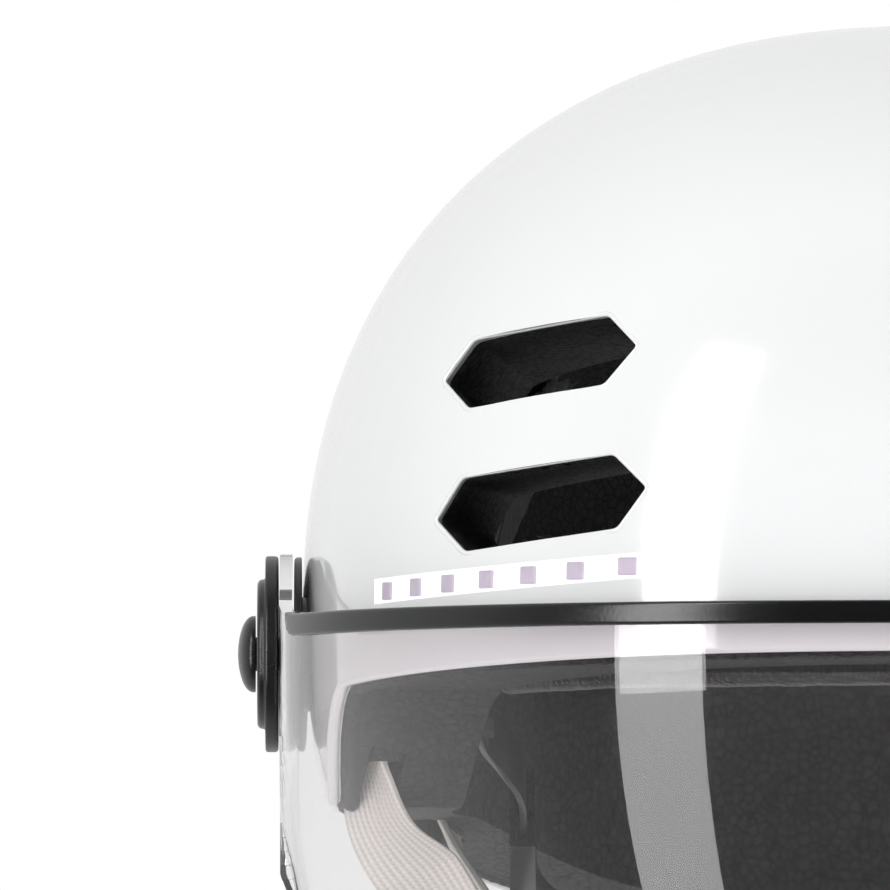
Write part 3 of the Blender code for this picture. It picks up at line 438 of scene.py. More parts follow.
# Two sizes of soft noise: a slow one for tone and a fine one for the surface.
GRAIN, grain_in, grain_out = effect(
    "surface_grain",
    [("Vector", VECTOR, None), ("Slow Scale", FLOAT, 20.0), ("Fine Scale", FLOAT, 900.0),
     ("Dark", COLOUR, (0, 0, 0, 1)), ("Light", COLOUR, (1, 1, 1, 1)),
     ("Low Roughness", FLOAT, 0.3), ("High Roughness", FLOAT, 0.5)],
    [("Color", COLOUR), ("Roughness", FLOAT), ("Height", FLOAT)])
slow = node(GRAIN, "TexNoise", Vector=grain_in.outputs["Vector"], Scale=grain_in.outputs["Slow Scale"],
            Detail=3.0)
fine = node(GRAIN, "TexNoise", Vector=grain_in.outputs["Vector"], Scale=grain_in.outputs["Fine Scale"],
            Detail=4.0)
tone = node(GRAIN, "Mix", {"data_type": "RGBA"}, i0=slow.outputs["Fac"], i6=grain_in.outputs["Dark"],
            i7=grain_in.outputs["Light"])
both = node(GRAIN, "Math", {"operation": "MULTIPLY_ADD"}, i0=fine.outputs["Fac"], i1=0.5)
half_slow = node(GRAIN, "Math", {"operation": "MULTIPLY"}, i0=slow.outputs["Fac"], i1=0.5)
GRAIN.links.new(half_slow.outputs[0], both.inputs[2])
rough = node(GRAIN, "MapRange", i0=both.outputs[0], i1=0.3, i2=0.7, i3=grain_in.outputs["Low Roughness"],
             i4=grain_in.outputs["High Roughness"])
for source_socket, name_out in ((tone.outputs[2], "Color"), (rough.outputs[0], "Roughness"),
                                (fine.outputs["Fac"], "Height")):
    GRAIN.links.new(source_socket, grain_out.inputs[name_out])


def finish_of(name, coords="Object", **plain):
    """A material with its coordinates and its Principled shader; plain values go straight on its sockets."""
    made = bpy.data.materials.new(name)
    made.use_nodes = True
    tree = made.node_tree
    shader = tree.nodes["Principled BSDF"]
    for key, value in plain.items():
        shader.inputs[key.replace("_", " ")].default_value = value
    place = tree.nodes.new("ShaderNodeTexCoord").outputs[coords]
    return made, tree, shader, place


def grained(name, dark, light, low, high, slow_scale, fine_scale, bump, coords="Object", **plain):
    """A material whose tone, roughness and fine relief come from the grain group."""
    made, tree, shader, place = finish_of(name, coords, **plain)
    grain = tree.nodes.new("ShaderNodeGroup")
    grain.node_tree = GRAIN
    tree.links.new(place, grain.inputs["Vector"])
    for label, value in (("Slow Scale", slow_scale), ("Fine Scale", fine_scale), ("Dark", (*dark, 1)),
                         ("Light", (*light, 1)), ("Low Roughness", low), ("High Roughness", high)):
        grain.inputs[label].default_value = value
    relief = node(tree, "Bump", Strength=1.0, Distance=bump, Height=grain.outputs["Height"])
    for source_socket, target in ((grain.outputs["Color"], "Base Color"),
                                  (grain.outputs["Roughness"], "Roughness"),
                                  (relief.outputs[0], "Normal")):
        tree.links.new(source_socket, shader.inputs[target])
    return made


GLOSS_WHITE = grained("gloss_white_shell", (0.855, 0.862, 0.868), (0.885, 0.89, 0.89), 0.10, 0.16, 14.0,
                      160.0,
                      0.000012, Coat_Weight=0.6, Coat_Roughness=0.03, Specular_IOR_Level=0.5)


def painted(piece, finish):
    """Gives piece one material in place of any it has."""
    piece.data.materials.clear()
    piece.data.materials.append(finish)
    return piece


VENT_TAPER, VENT_SQUARE = 0.0060, 0.3
VENTS = [(side * x, z, rear, tilt * side, length, height)
         for side in (1, -1) for x, z, rear, tilt, length, height in (
             (0.0711, 0.0483, False, -2.6, 0.0392, 0.0131), (0.0711, 0.0236, False, -4.8, 0.0424, 0.0131),
             (0.0520, 0.0735, True, 4.0, 0.0340, 0.0118), (0.0700, 0.0450, True, 4.0, 0.0340, 0.0118))]
RIM_STEPS = [-0.150 + 0.0035 * i for i in range(97)]


def vent_outline(vent, grow):
    """A six-sided slot with softly turned corners, grown by grow."""
    half, high, taper = vent[4] / 2, vent[5] / 2, VENT_TAPER
    corners = [(half, 0), (half - taper, high), (taper - half, high), (-half, 0),
               (taper - half, -high), (half - taper, -high)]
    return rounded(grown(corners, grow), 0.0011)


def vent_place(vent):
    """Where a vent's channel stands: nearly straight in from the front or the back."""
    x, z, rear, tilt = vent[:4]
    point, normal = dome_point(x, z, rear=rear)
    straight = Vector((0, 1 if rear else -1, 0))
    outward = (normal * VENT_SQUARE + straight * (1 - VENT_SQUARE)).normalized()
    level = Vector((0, 0, 1)).cross(outward).normalized()
    return set_at(point, Matrix.Rotation(math.radians(tilt), 3, outward) @ frame_along(outward, level))


def below_rim(drop):
    """The side-view outline of everything below the rim."""
    line = [(y, rim_height(y) - drop) for y in RIM_STEPS]
    return [(-0.150, -0.200), *line, (line[-1][0], -0.200)]


LIGHT_INNER_X, LIGHT_OUTER_X = 0.0490, 0.0990
LIGHT_INNER_Z, LIGHT_OUTER_Z = 0.0128, 0.0094
LIGHT_HEIGHT = 0.0044


def light_line(x):
    """Height of the front light's middle line at x."""
    share = (abs(x) - LIGHT_INNER_X) / (LIGHT_OUTER_X - LIGHT_INNER_X)
    return LIGHT_INNER_Z + (LIGHT_OUTER_Z - LIGHT_INNER_Z) * share


def light_band(side, grow):
    """The front light's outline in front view, anticlockwise, grown by grow."""
    inner, outer, half = LIGHT_INNER_X - grow, LIGHT_OUTER_X + grow, LIGHT_HEIGHT / 2 + grow
    outline = [(side * inner, light_line(inner) - half), (side * outer, light_line(outer) - half),
               (side * outer, light_line(outer) + half), (side * inner, light_line(inner) + half)]
    return outline if side > 0 else outline[::-1]


REAR_LIGHT_HALF, REAR_LIGHT_Z, REAR_LIGHT_HEIGHT = 0.040, 0.0240, 0.0070


def rear_band(grow):
    """The rear light's outline: a long slot with pointed ends, matching the vents."""
    half, high = REAR_LIGHT_HALF + grow, REAR_LIGHT_HEIGHT / 2 + grow
    return [(half, REAR_LIGHT_Z), (half - high, REAR_LIGHT_Z + high), (high - half, REAR_LIGHT_Z + high),
            (-half, REAR_LIGHT_Z), (high - half, REAR_LIGHT_Z - high), (half - high, REAR_LIGHT_Z - high)]


FLAP_MIDDLE = (-0.014, 0.0040)


def flap_band(grow):
    """The charging flap's outline in rear view."""
    wide, high = 0.0075 + grow, 0.0040 + grow
    corners = [(wide, -high), (wide, high), (-wide, high), (-wide, -high)]
    return [(u + FLAP_MIDDLE[0], v + FLAP_MIDDLE[1]) for u, v in rounded(corners, 0.0018)]


def turned(name, profile, point, axis, steps=96):
    """Spins a profile of (radius, height) about axis through point and closes it."""
    mesh = bpy.data.meshes.new(name)
    mesh.from_pydata([(radius, 0, height) for radius, height in profile],
                     [(i, i + 1) for i in range(len(profile) - 1)], [])
    piece = linked(name, mesh)
    only(piece)
    bpy.ops.object.mode_set(mode="EDIT")
    bpy.ops.mesh.select_all(action="SELECT")
    bpy.ops.mesh.spin(steps=steps, angle=2 * math.pi, center=(0, 0, 0), axis=(0, 0, 1))
    bpy.ops.object.mode_set(mode="OBJECT")
    merged(piece, 1e-6)
    turn = Vector((0, 0, 1)).rotation_difference(Vector(axis)).to_matrix()
    piece.data.transform(set_at(point, turn))
    return piece


BUTTON_X, BUTTON_Z, BUTTON_RADIUS = 0.010, 0.0040, 0.0055
BUTTON_Y = dome_point(BUTTON_X, BUTTON_Z, rear=True)[0].y

shell = dome_form("helmet_shell", 0.0)
outer_skin = Smooth(shell)
hollow = dome_form("shell_hollow", SHELL_WALL)
inner_skin = Smooth(hollow)
cut_by(shell, hollow)
cut_by(shell, side_prism("rim_cut", below_rim(0.0)))
for vent in VENTS:
    cut_by(shell, prism("vent_cut", vent_outline(vent, 0.0), 0.050, vent_place(vent)))
for label, side in SIDES:
    cut_by(shell, front_prism("light_cut", light_band(side, 0.0)))
    cut_by(shell, turned("pivot_cut", [(0, 0.122), (0.0034, 0.122), (0.0034, 0.090), (0, 0.090)],
                         (0, 0, 0), (side, 0, 0), 32))
cut_by(shell, front_prism("rear_light_cut", rounded(rear_band(0.0), 0.0008), True))
cut_by(shell, front_prism("flap_cut", flap_band(0.0), True))
cut_by(shell, turned("button_cut", [(0, 0.010), (BUTTON_RADIUS + GAP, 0.010), (BUTTON_RADIUS + GAP, -0.010),
                                    (0, -0.010)], (BUTTON_X, BUTTON_Y, BUTTON_Z), (0, 1, 0), 48))
polished(shell, outer_skin, inner_skin)


def rim_point(angle, inset, drop=0.0):
    """A point on the rim's line at a plan angle; 0 is the wearer's left and 90 the back."""
    half = DOME_HALF - Vector((inset, inset, inset))
    across, back = math.cos(angle), math.sin(angle)
    y = DOME_MIDDLE.y + back * half.y
    for _ in range(30):
        z = rim_height(y) - drop
        level = abs((z - DOME_MIDDLE.z) / half.z) ** ROUNDNESS
        size = ((abs(across / half.x) ** ROUNDNESS
                 + abs(back / half.y) ** ROUNDNESS) / (1 - level)) ** (1 / ROUNDNESS)
        y = DOME_MIDDLE.y + back / size
    return Vector((across / size, y, z))


LIP = 0.00045
lips = [wire("rim_lip", [rim_point(math.radians(a), 0.0011, -0.0002) for a in range(0, 360)], 0.00105,
             True)]
for vent in VENTS:
    place = vent_place(vent)
    outward = place.to_3x3() @ Vector((0, 0, 1))
    lips.append(wire("vent_lip", [onto_dome(place @ Vector((u, v, 0)), outward, 0.6 * LIP)
                                  for u, v in vent_outline(vent, 0.6 * LIP)], LIP, True))
joined(shell, *lips)
painted(shell, GLOSS_WHITE)
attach(shell, "helmet")
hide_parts("outer_shell")


# ---- Foam liner -----------------------------------------------------------------------------
# Expanded black bead foam moulded into the shell, with the head cavity, the vent channels and the
# bays for the electronics. Its bare edge shows 1 mm below the shell's rim and inside each vent.
CAVITY_HALF = Vector((0.086, 0.114, 0.078))
LINER_DROP = 0.0010

# Moulded beads: cells with soft rounded faces and dark joints.
BEADS, bead_in, bead_out = effect(
    "moulded_beads",
    [("Vector", VECTOR, None), ("Scale", FLOAT, 420.0), ("Joint", COLOUR, (0.01, 0.01, 0.01, 1)),
     ("Bead", COLOUR, (0.04, 0.04, 0.04, 1)), ("Pale Bead", COLOUR, (0.07, 0.07, 0.07, 1))],
    [("Color", COLOUR), ("Roughness", FLOAT), ("Height", FLOAT)])
cells = node(BEADS, "TexVoronoi", {"feature": "F1"}, Vector=bead_in.outputs["Vector"],
             Scale=bead_in.outputs["Scale"], Randomness=0.85)
joints = node(BEADS, "TexVoronoi", {"feature": "DISTANCE_TO_EDGE"}, Vector=bead_in.outputs["Vector"],
              Scale=bead_in.outputs["Scale"], Randomness=0.85)
joint_mask = node(BEADS, "MapRange", {"interpolation_type": "SMOOTHSTEP"}, i0=joints.outputs["Distance"],
                  i1=0.0, i2=0.16, i3=0.0, i4=1.0)
bead_tone = node(BEADS, "Mix", {"data_type": "RGBA"}, i0=cells.outputs["Color"], i6=bead_in.outputs["Bead"],
                 i7=bead_in.outputs["Pale Bead"])
bead_colour = node(BEADS, "Mix", {"data_type": "RGBA"}, i0=joint_mask.outputs[0],
                   i6=bead_in.outputs["Joint"],
                   i7=bead_tone.outputs[2])
bead_rough = node(BEADS, "MapRange", i0=joint_mask.outputs[0], i1=0.0, i2=1.0, i3=0.90, i4=0.70)
bead_height = node(BEADS, "Math", {"operation": "SUBTRACT"}, i0=joint_mask.outputs[0],
                   i1=cells.outputs["Distance"])
for source_socket, name_out in ((bead_colour.outputs[2], "Color"), (bead_rough.outputs[0], "Roughness"),
                                (bead_height.outputs[0], "Height")):
    BEADS.links.new(source_socket, bead_out.inputs[name_out])

FOAM, foam_tree, foam_shader, foam_place = finish_of("bead_foam", Specular_IOR_Level=0.4)
foam_beads = foam_tree.nodes.new("ShaderNodeGroup")
foam_beads.node_tree = BEADS
foam_tree.links.new(foam_place, foam_beads.inputs["Vector"])
foam_beads.inputs["Scale"].default_value = 520.0
foam_beads.inputs["Joint"].default_value = (0.019, 0.019, 0.019, 1)
foam_beads.inputs["Bead"].default_value = (0.022, 0.022, 0.023, 1)
foam_beads.inputs["Pale Bead"].default_value = (0.036, 0.035, 0.036, 1)
foam_relief = node(foam_tree, "Bump", Strength=0.6, Distance=0.00007, Height=foam_beads.outputs["Height"])
for source_socket, target in ((foam_beads.outputs["Color"], "Base Color"),
                              (foam_beads.outputs["Roughness"], "Roughness"),
                              (foam_relief.outputs[0], "Normal")):
    foam_tree.links.new(source_socket, foam_shader.inputs[target])

liner = dome_form("bead_foam_liner", SHELL_WALL + GAP)
liner_skin = Smooth(liner)
cavity = ball("cavity", CAVITY_HALF, True)
cavity_skin = Smooth(cavity)
cut_by(liner, cavity)
cut_by(liner, side_prism("liner_rim_cut", below_rim(LINER_DROP)))
for vent in VENTS:
    cut_by(liner, prism("vent_channel", vent_outline(vent, -0.0003), 0.128, vent_place(vent)))


def block(name, size, point, turn=None):
    """A box of full size (x, y, z) about point, turned by a rotation."""
    piece = started(name, bpy.ops.mesh.primitive_cube_add, size=1)
    piece.data.transform(set_at(point, turn or Matrix.Identity(3)) @ Matrix.Diagonal((*size, 1)))
    return piece


for label, side in SIDES:
    groove = front_prism("light_groove", light_band(side, 0.0008))
    cut_by(groove, dome_form("groove_floor", SHELL_WALL + 0.0042))
    cut_by(liner, groove)
    cut_by(liner, turned("nut_pocket", [(0, 0.1120), (0.0090, 0.1120), (0.0090, 0.0975), (0, 0.0975)],
                         (0, 0, 0), (side, 0, 0), 48))
rear_groove = front_prism("rear_groove", rear_band(0.0008), True)
cut_by(rear_groove, dome_form("rear_groove_floor", SHELL_WALL + 0.0042))
cut_by(liner, rear_groove)
BAY_TURN = frame_along((0, math.cos(math.radians(17.8)), math.sin(math.radians(17.8))), (1, 0, 0))
cut_by(liner, block("battery_bay", (0.0468, 0.0288, 0.0270),
                    Vector((0, 0.1470, 0.0385)) + BAY_TURN @ Vector((0, 0, 0.0096)), BAY_TURN))
REAR_TURN = frame_along((0, 1, 0), (1, 0, 0))
cut_by(liner, block("board_bay", (0.0452, 0.0232, 0.0200), Vector((0, 0.1626, 0.0060)), REAR_TURN))
ANCHORS = {("front", side): (Vector((0.0990 * side, -0.013, -0.0130)),
                             Vector((0.97 * side, -0.24, 0.0)).normalized())
           for _, side in SIDES}
ANCHORS.update({("rear", side): (Vector((0.0900 * side, 0.080, -0.0200)),
                                 Vector((0.96 * side, 0.28, 0.0)).normalized()) for _, side in SIDES})
for knot, outward in ANCHORS.values():
    cut_by(liner, block("anchor_room", (0.0296, 0.0226, 0.0060), knot + Vector((0, 0, -0.0116)),
                        frame_along(outward, (0, 0, 1))))
polished(liner, liner_skin, cavity_skin)


def mapped(name, columns, rows, place, close=True):
    """A grid whose corner (0, 0) to (1, 1) is laid out by place(u, v); close merges edges that meet."""
    piece = started(name, bpy.ops.mesh.primitive_grid_add, x_subdivisions=columns, y_subdivisions=rows,
                    size=2)
    for vert in piece.data.vertices:
        vert.co = place((vert.co.x + 1) / 2, (vert.co.y + 1) / 2)
    piece.data.update()
    if close:
        merged(piece, 1e-7)
    piece.data.shade_smooth()
    return piece


def bead_bumps(point, size=0.0026):
    """Relief of the moulded beads at a point, from 0 in a joint to 1 on a bead."""
    distances = noise.voronoi(point / size)[0]
    return min((distances[1] - distances[0]) * 1.6, 1.0)


def along_line(points, share, cyclic=True):
    """The point a share of the way along a line of points at even spacing by index."""
    count = len(points) if cyclic else len(points) - 1
    at = share * count
    low = int(at)
    return Vector(points[low % len(points)]).lerp(Vector(points[(low + 1) % len(points)]), at - low)


def even_line(points, count, cyclic=True):
    """The line read at count even steps of its length."""
    line = [Vector(p) for p in points] + ([Vector(points[0])] if cyclic else [])
    lengths = [0.0]
    for a, b in zip(line, line[1:]):
        lengths.append(lengths[-1] + (b - a).length)
    picked, k = [], 0
    for i in range(count):
        want = lengths[-1] * i / (count if cyclic else count - 1)
        while k < len(line) - 2 and lengths[k + 1] < want:
            k += 1
        picked.append(line[k].lerp(line[k + 1],
                                   (want - lengths[k]) / max(lengths[k + 1] - lengths[k], 1e-12)))
    return picked


SLEEVE_DEPTH = 0.0165
sleeves = []
for vent in VENTS:
    place, walls = vent_place(vent), even_line([(*p, 0) for p in vent_outline(vent, -0.0003)], 176)
    outward = place.to_3x3() @ Vector((0, 0, 1))

    def channel_wall(u, v):
        at = along_line(walls, u)
        here = place @ at
        top = onto_dome(here, outward, 0.0018)
        point = top - outward * SLEEVE_DEPTH * v
        inward = (place @ Vector((0, 0, 0)) - here)
        inward = (inward - outward * inward.dot(outward)).normalized()
        relief = 0.00065 * bead_bumps(point) * (0.35 + 0.65 * smooth_step(1 - 3 * v))
        fade = smooth_step(v * 12)
        return point + inward * relief + outward * (0.0004 * bead_bumps(point) * (1 - fade) - 0.0004)

    sleeves.append(mapped("channel_wall", 176, 26, channel_wall))

rim_lines = [[rim_point(2 * math.pi * i / 900, inset, LINER_DROP) for i in range(900)]
             for inset in (0.0027, 0.0052)]


def rim_edge(u, v):
    """The liner's bare edge: from the shell's wall round under the foam."""
    outer, inner = along_line(rim_lines[0], u), along_line(rim_lines[1], u)
    turn = math.pi * v
    across = outer.lerp(inner, 0.5 - 0.5 * math.cos(turn))
    point = across + Vector((0, 0, 0.0008 - 0.0011 * math.sin(turn)))
    return point + Vector((0, 0, -0.0005 * bead_bumps(point, 0.0024) * math.sin(turn)))


edge = mapped("bare_edge", 900, 8, rim_edge)
joined(liner, edge, *sleeves)
painted(liner, FOAM)
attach(liner, "helmet")
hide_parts("foam_liner")


# ---- Front lights ---------------------------------------------------------------------------
# Two curved strips of seven white LEDs behind milky clear covers, flush with the shell above the
# visor. Each strip is a thin coated board bonded into its groove in the foam.
LED_COUNT = 7


def even_places(start, end, height, rear, count):
    """x places at even distances along the dome between two x values."""
    steps = 200
    xs = [start + (end - start) * i / steps for i in range(steps + 1)]
    points = [dome_point(x, height(x), rear=rear)[0] for x in xs]
    run = [0.0]
    for a, b in zip(points, points[1:]):
        run.append(run[-1] + (b - a).length)
    return [xs[min(range(len(run)), key=lambda k: abs(run[k] - run[-1] * i / (count - 1)))]
            for i in range(count)]


# The board's white emission is a painted glow: the board is no lamp, and the LED chips on it barely glow.
GLOW, glow_tree, glow_shader, glow_place = finish_of("painted_glow_board", Base_Color=(0.9, 0.9, 0.93, 1),
                                                     Roughness=0.5,
                                                     Emission_Strength=1.05)
glow_noise = node(glow_tree, "TexNoise", Vector=glow_place, Scale=260.0, Detail=2.0)
glow_ramp = node(glow_tree, "Mix", {"data_type": "RGBA"}, i0=glow_noise.outputs["Fac"],
                 i6=(0.90, 0.86, 1.0, 1), i7=(1.0, 0.98, 1.0, 1))
glow_tree.links.new(glow_ramp.outputs[2], glow_shader.inputs["Emission Color"])
CHIP = grained("led_chip", (0.34, 0.24, 0.36), (0.58, 0.44, 0.60), 0.35, 0.55, 900.0, 2600.0, 0.00003,
               Emission_Color=(0.55, 0.42, 0.58, 1), Emission_Strength=0.06)
COVER = grained("milky_cover", (0.95, 0.93, 0.97), (0.98, 0.97, 1.0), 0.05, 0.12, 60.0, 900.0, 0.00001,
                Alpha=0.22, Coat_Weight=0.5, Coat_Roughness=0.05)


def light_strip(name, side, outline, places, height, rear, board_finish, chip_finish):
    """The board with a chip at each place, curved with the dome."""
    board = dome_form(name, SHELL_WALL + 0.0009, segments=128, rings=64)
    cut_by(board, front_prism("strip_outline", outline, rear), "INTERSECT")
    cut_by(board, dome_form("strip_back", SHELL_WALL + 0.0024))
    board.data.shade_smooth()
    painted(board, board_finish)
    chips = []
    for x in places:
        point, normal = dome_point(x, height(x), SHELL_WALL + 0.0011, rear)
        chip = block("chip", (0.0036, 0.0031, 0.0014), point,
                     frame_along(normal, Vector((0, 0, 1)).cross(normal)))
        finished_by(chip, "BEVEL", width=0.0003, segments=2)
        painted(chip, chip_finish)
        chips.append(chip)
    joined(board, *chips)
    return board


for label, side in SIDES:
    cover = dome_form(f"front_light_cover_clear_{label}", 0.0)
    cover_skin = Smooth(cover)
    cut_by(cover, front_prism("cover_outline", light_band(side, -0.00002)), "INTERSECT")
    cut_by(cover, dome_form("cover_back", SHELL_WALL - 0.0006))
    polished(cover, cover_skin)
    painted(cover, COVER)
    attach(cover, "helmet")
    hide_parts(f"front_light_cover_{label}")
    leds = even_places(side * (LIGHT_INNER_X + 0.0065), side * (LIGHT_OUTER_X - 0.0025), light_line, False,
                       LED_COUNT)
    strip = light_strip(f"front_light_strip_{label}", side, light_band(side, 0.0006), leds, light_line,
                        False,
                        GLOW, CHIP)
    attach(strip, "helmet")
    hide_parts(f"front_led_board_{label}")


# ---- Rear light -----------------------------------------------------------------------------
# One long red lens with pointed ends like the vents, with seven LEDs behind it.
RED = grained("red_cover", (0.42, 0.008, 0.010), (0.60, 0.015, 0.015), 0.06, 0.14, 90.0, 900.0, 0.00001,
              Alpha=0.80, Coat_Weight=0.7, Coat_Roughness=0.04)
# The board's red emission is a painted glow: the board is no lamp, and the LED chips on it barely glow.
RED_GLOW = grained("red_painted_glow_board", (0.7, 0.05, 0.04), (0.9, 0.10, 0.08), 0.4, 0.5, 300.0, 900.0, 0.00002,
                   Emission_Color=(1.0, 0.06, 0.04, 1), Emission_Strength=0.5)
rear_cover = dome_form("rear_light_lens", 0.0)
rear_skin = Smooth(rear_cover)
cut_by(rear_cover, front_prism("rear_cover_outline", rounded(rear_band(-GAP), 0.0008), True), "INTERSECT")
cut_by(rear_cover, dome_form("rear_cover_back", SHELL_WALL - 0.0006))
polished(rear_cover, rear_skin)
painted(rear_cover, RED)
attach(rear_cover, "helmet")
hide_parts("rear_light_cover")
rear_strip = light_strip("rear_light_strip", 1, rear_band(-0.0006),
                         even_places(-0.030, 0.030, lambda x: REAR_LIGHT_Z, True, 7),
                         lambda x: REAR_LIGHT_Z, True,
                         RED_GLOW, CHIP)
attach(rear_strip, "helmet")
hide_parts("rear_led_board")


# ---- Battery, control board, wiring, button and charging flap ---------------------------------
# A wrapped flat cell and a small board sit in bays behind the head, with a rubber button and a
# rubber flap over the charging socket pressed into the shell. Thin cables run round to the lights.
RUBBER = grained("black_rubber", (0.0035, 0.0035, 0.004), (0.008, 0.008, 0.009), 0.16, 0.26, 60.0, 1500.0,
                 0.000012,
                 Specular_IOR_Level=0.5)
SATIN_BLACK = grained("satin_black_plastic", (0.005, 0.005, 0.0055), (0.011, 0.011, 0.012), 0.24, 0.40,
                      45.0, 2200.0,
                      0.000025)
WRAP = grained("battery_wrap", (0.04, 0.09, 0.20), (0.07, 0.14, 0.28), 0.25, 0.45, 120.0, 700.0, 0.00004)
BOARD_COAT = grained("board_coat", (0.05, 0.16, 0.07), (0.10, 0.24, 0.11), 0.3, 0.5, 400.0, 1800.0, 0.00004)
STEEL = grained("turned_steel", (0.50, 0.50, 0.52), (0.66, 0.66, 0.68), 0.22, 0.38, 200.0, 2600.0, 0.00001,
                Metallic=1.0)
for name, paint in (("battery", WRAP), ("control_board", BOARD_COAT), ("wiring_left", RUBBER),
                    ("wiring_right", RUBBER),
                    ("pivot_nut_left", STEEL), ("pivot_nut_right", STEEL)):
    painted(NODES[name], paint)

button = turned("rubber_button", [(0, 0.00045), (0.0022, 0.00055), (0.0036, 0.00095), (0.0047, 0.0010),
                                  (0.0053, 0.0007), (BUTTON_RADIUS, 0.0001), (BUTTON_RADIUS, -0.0028),
                                  (BUTTON_RADIUS - 0.0004, -0.0030), (0.0020, -0.0030), (0.0020, -0.0048),
                                  (0, -0.0048)], (BUTTON_X, BUTTON_Y, BUTTON_Z), (0, 1, 0))
only(button)
bpy.ops.object.shade_smooth_by_angle(angle=math.radians(40))
painted(button, RUBBER)
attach(button, "button")
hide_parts("power_button")

flap = dome_form("rubber_flap", -0.0002)
cut_by(flap, front_prism("flap_outline", flap_band(-0.0003), True), "INTERSECT")
cut_by(flap, dome_form("flap_back", 0.0014))
finished_by(flap, "BEVEL", width=0.0003, segments=3, limit_method="ANGLE", angle_limit=math.radians(50))
only(flap)
bpy.ops.object.shade_smooth_by_angle(angle=math.radians(35))
painted(flap, RUBBER)
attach(flap, "flap")
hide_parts("charge_flap")


# ---- Visor lens -----------------------------------------------------------------------------
# A moulded clear sheet 2.2 mm thick, curved round the face, with flat round ears on the pivots.
LENS_WALL, LENS_HALF_WIDTH, LENS_REACH, LENS_FLAT = 0.0022, 0.1166, 0.1251, 0.1146
LENS_ROUNDNESS, LENS_CURVE, LENS_DROP, LENS_TOP, EAR_RADIUS = 2.15, 0.148, 0.092, 0.0050, 0.0175
EAR_BACK = 0.024


def lens_point(angle, z, offset):
    """A point of the lens's form at a plan angle; 0 is the left pivot and 180 the right one."""
    taper = math.sqrt(1 - (z / LENS_CURVE) ** 2)
    power = 2 / LENS_ROUNDNESS
    across, ahead = math.cos(math.radians(angle)), math.sin(math.radians(angle))
    x = math.copysign(abs(across) ** power, across) * (LENS_HALF_WIDTH + offset) * taper
    limit = LENS_FLAT + offset
    return Vector((min(max(x, -limit), limit), -abs(ahead) ** power * (LENS_REACH + offset) * taper, z))


def lens_run(share, z, offset):
    """A point of the lens a share of the way from its left ear's back edge to its right one's."""
    ear = 0.08
    if share < ear:
        return Vector((LENS_FLAT + offset, EAR_BACK * (1 - share / ear), z))
    if share > 1 - ear:
        return Vector((-LENS_FLAT - offset, EAR_BACK * (share - 1 + ear) / ear, z))
    return lens_point(180 * (share - ear) / (1 - 2 * ear), z, offset)


def lens_slab(name, wall, low, high, columns=150, rows=48):
    """The lens's curved wall as a closed slab."""
    turns = 2 * rows + 2

    def place(u, v):
        at = v * turns
        if at <= rows:
            return lens_run(u, low + (high - low) * at / rows, wall / 2)
        if at < rows + 1:
            return lens_run(u, high, wall / 2 - wall * (at - rows))
        if at <= 2 * rows + 1:
            return lens_run(u, high - (high - low) * (at - rows - 1) / rows, -wall / 2)
        return lens_run(u, low, -wall / 2 + wall * (at - 2 * rows - 1))

    piece = mapped(name, columns, turns, place, close=False)
    only(piece)
    bpy.ops.object.mode_set(mode="EDIT")
    bpy.ops.mesh.select_all(action="SELECT")
    bpy.ops.mesh.remove_doubles(threshold=1e-7)
    bpy.ops.mesh.select_all(action="DESELECT")
    bpy.ops.mesh.select_non_manifold(extend=False)
    bpy.ops.mesh.edge_face_add()
    bpy.ops.mesh.select_all(action="SELECT")
    bpy.ops.mesh.normals_make_consistent(inside=False)
    bpy.ops.object.mode_set(mode="OBJECT")
    return piece


def lens_top(y):
    """The lens's upper edge in side view: level, then rising to the round ear."""
    return LENS_TOP + 7.67 * max(y + 0.044, 0.0) ** 2


def arc(radius, start, end, steps, centre=(0.0, 0.0)):
    """Points on an arc in degrees, both ends included."""
    turn = [math.radians(start + (end - start) * i / steps) for i in range(steps + 1)]
    return [(centre[0] + radius * math.cos(t), centre[1] + radius * math.sin(t)) for t in turn]


def curve_through(points, per_step=8):
    """A smooth curve through given points."""
    points = [Vector(p) for p in points]
    ends = [2 * points[0] - points[1], *points, 2 * points[-1] - points[-2]]
    line = []
    for i in range(1, len(ends) - 2):
        p0, p1, p2, p3 = ends[i - 1:i + 3]
        for step in range(per_step):
            t = step / per_step
            line.append(0.5 * (2 * p1 + (p2 - p0) * t + (2 * p0 - 5 * p1 + 4 * p2 - p3) * t ** 2
                               + (3 * p1 - p0 - 3 * p2 + p3) * t ** 3))
    return line + [points[-1]]


def lens_outline(grow):
    """The lens's side view, grown by grow all round."""
    top = [(y, lens_top(y) + grow) for y in (-0.150, *[-0.044 + 0.0015 * i for i in range(20)])]
    ear = arc(EAR_RADIUS + grow, 132, -40, 60)
    drop = [(0.006, -0.025), (-0.003, -0.044), (-0.017, -0.062), (-0.036, -0.077),
            (-0.060, -0.087), (-0.090, -0.0915), (-0.150, -0.092)]
    join = EAR_RADIUS * Vector((math.cos(math.radians(-40)), math.sin(math.radians(-40))))
    return (top + ear + [(p.x + grow, p.y - grow) for p in curve_through([join, *drop])[4:]])[::-1]


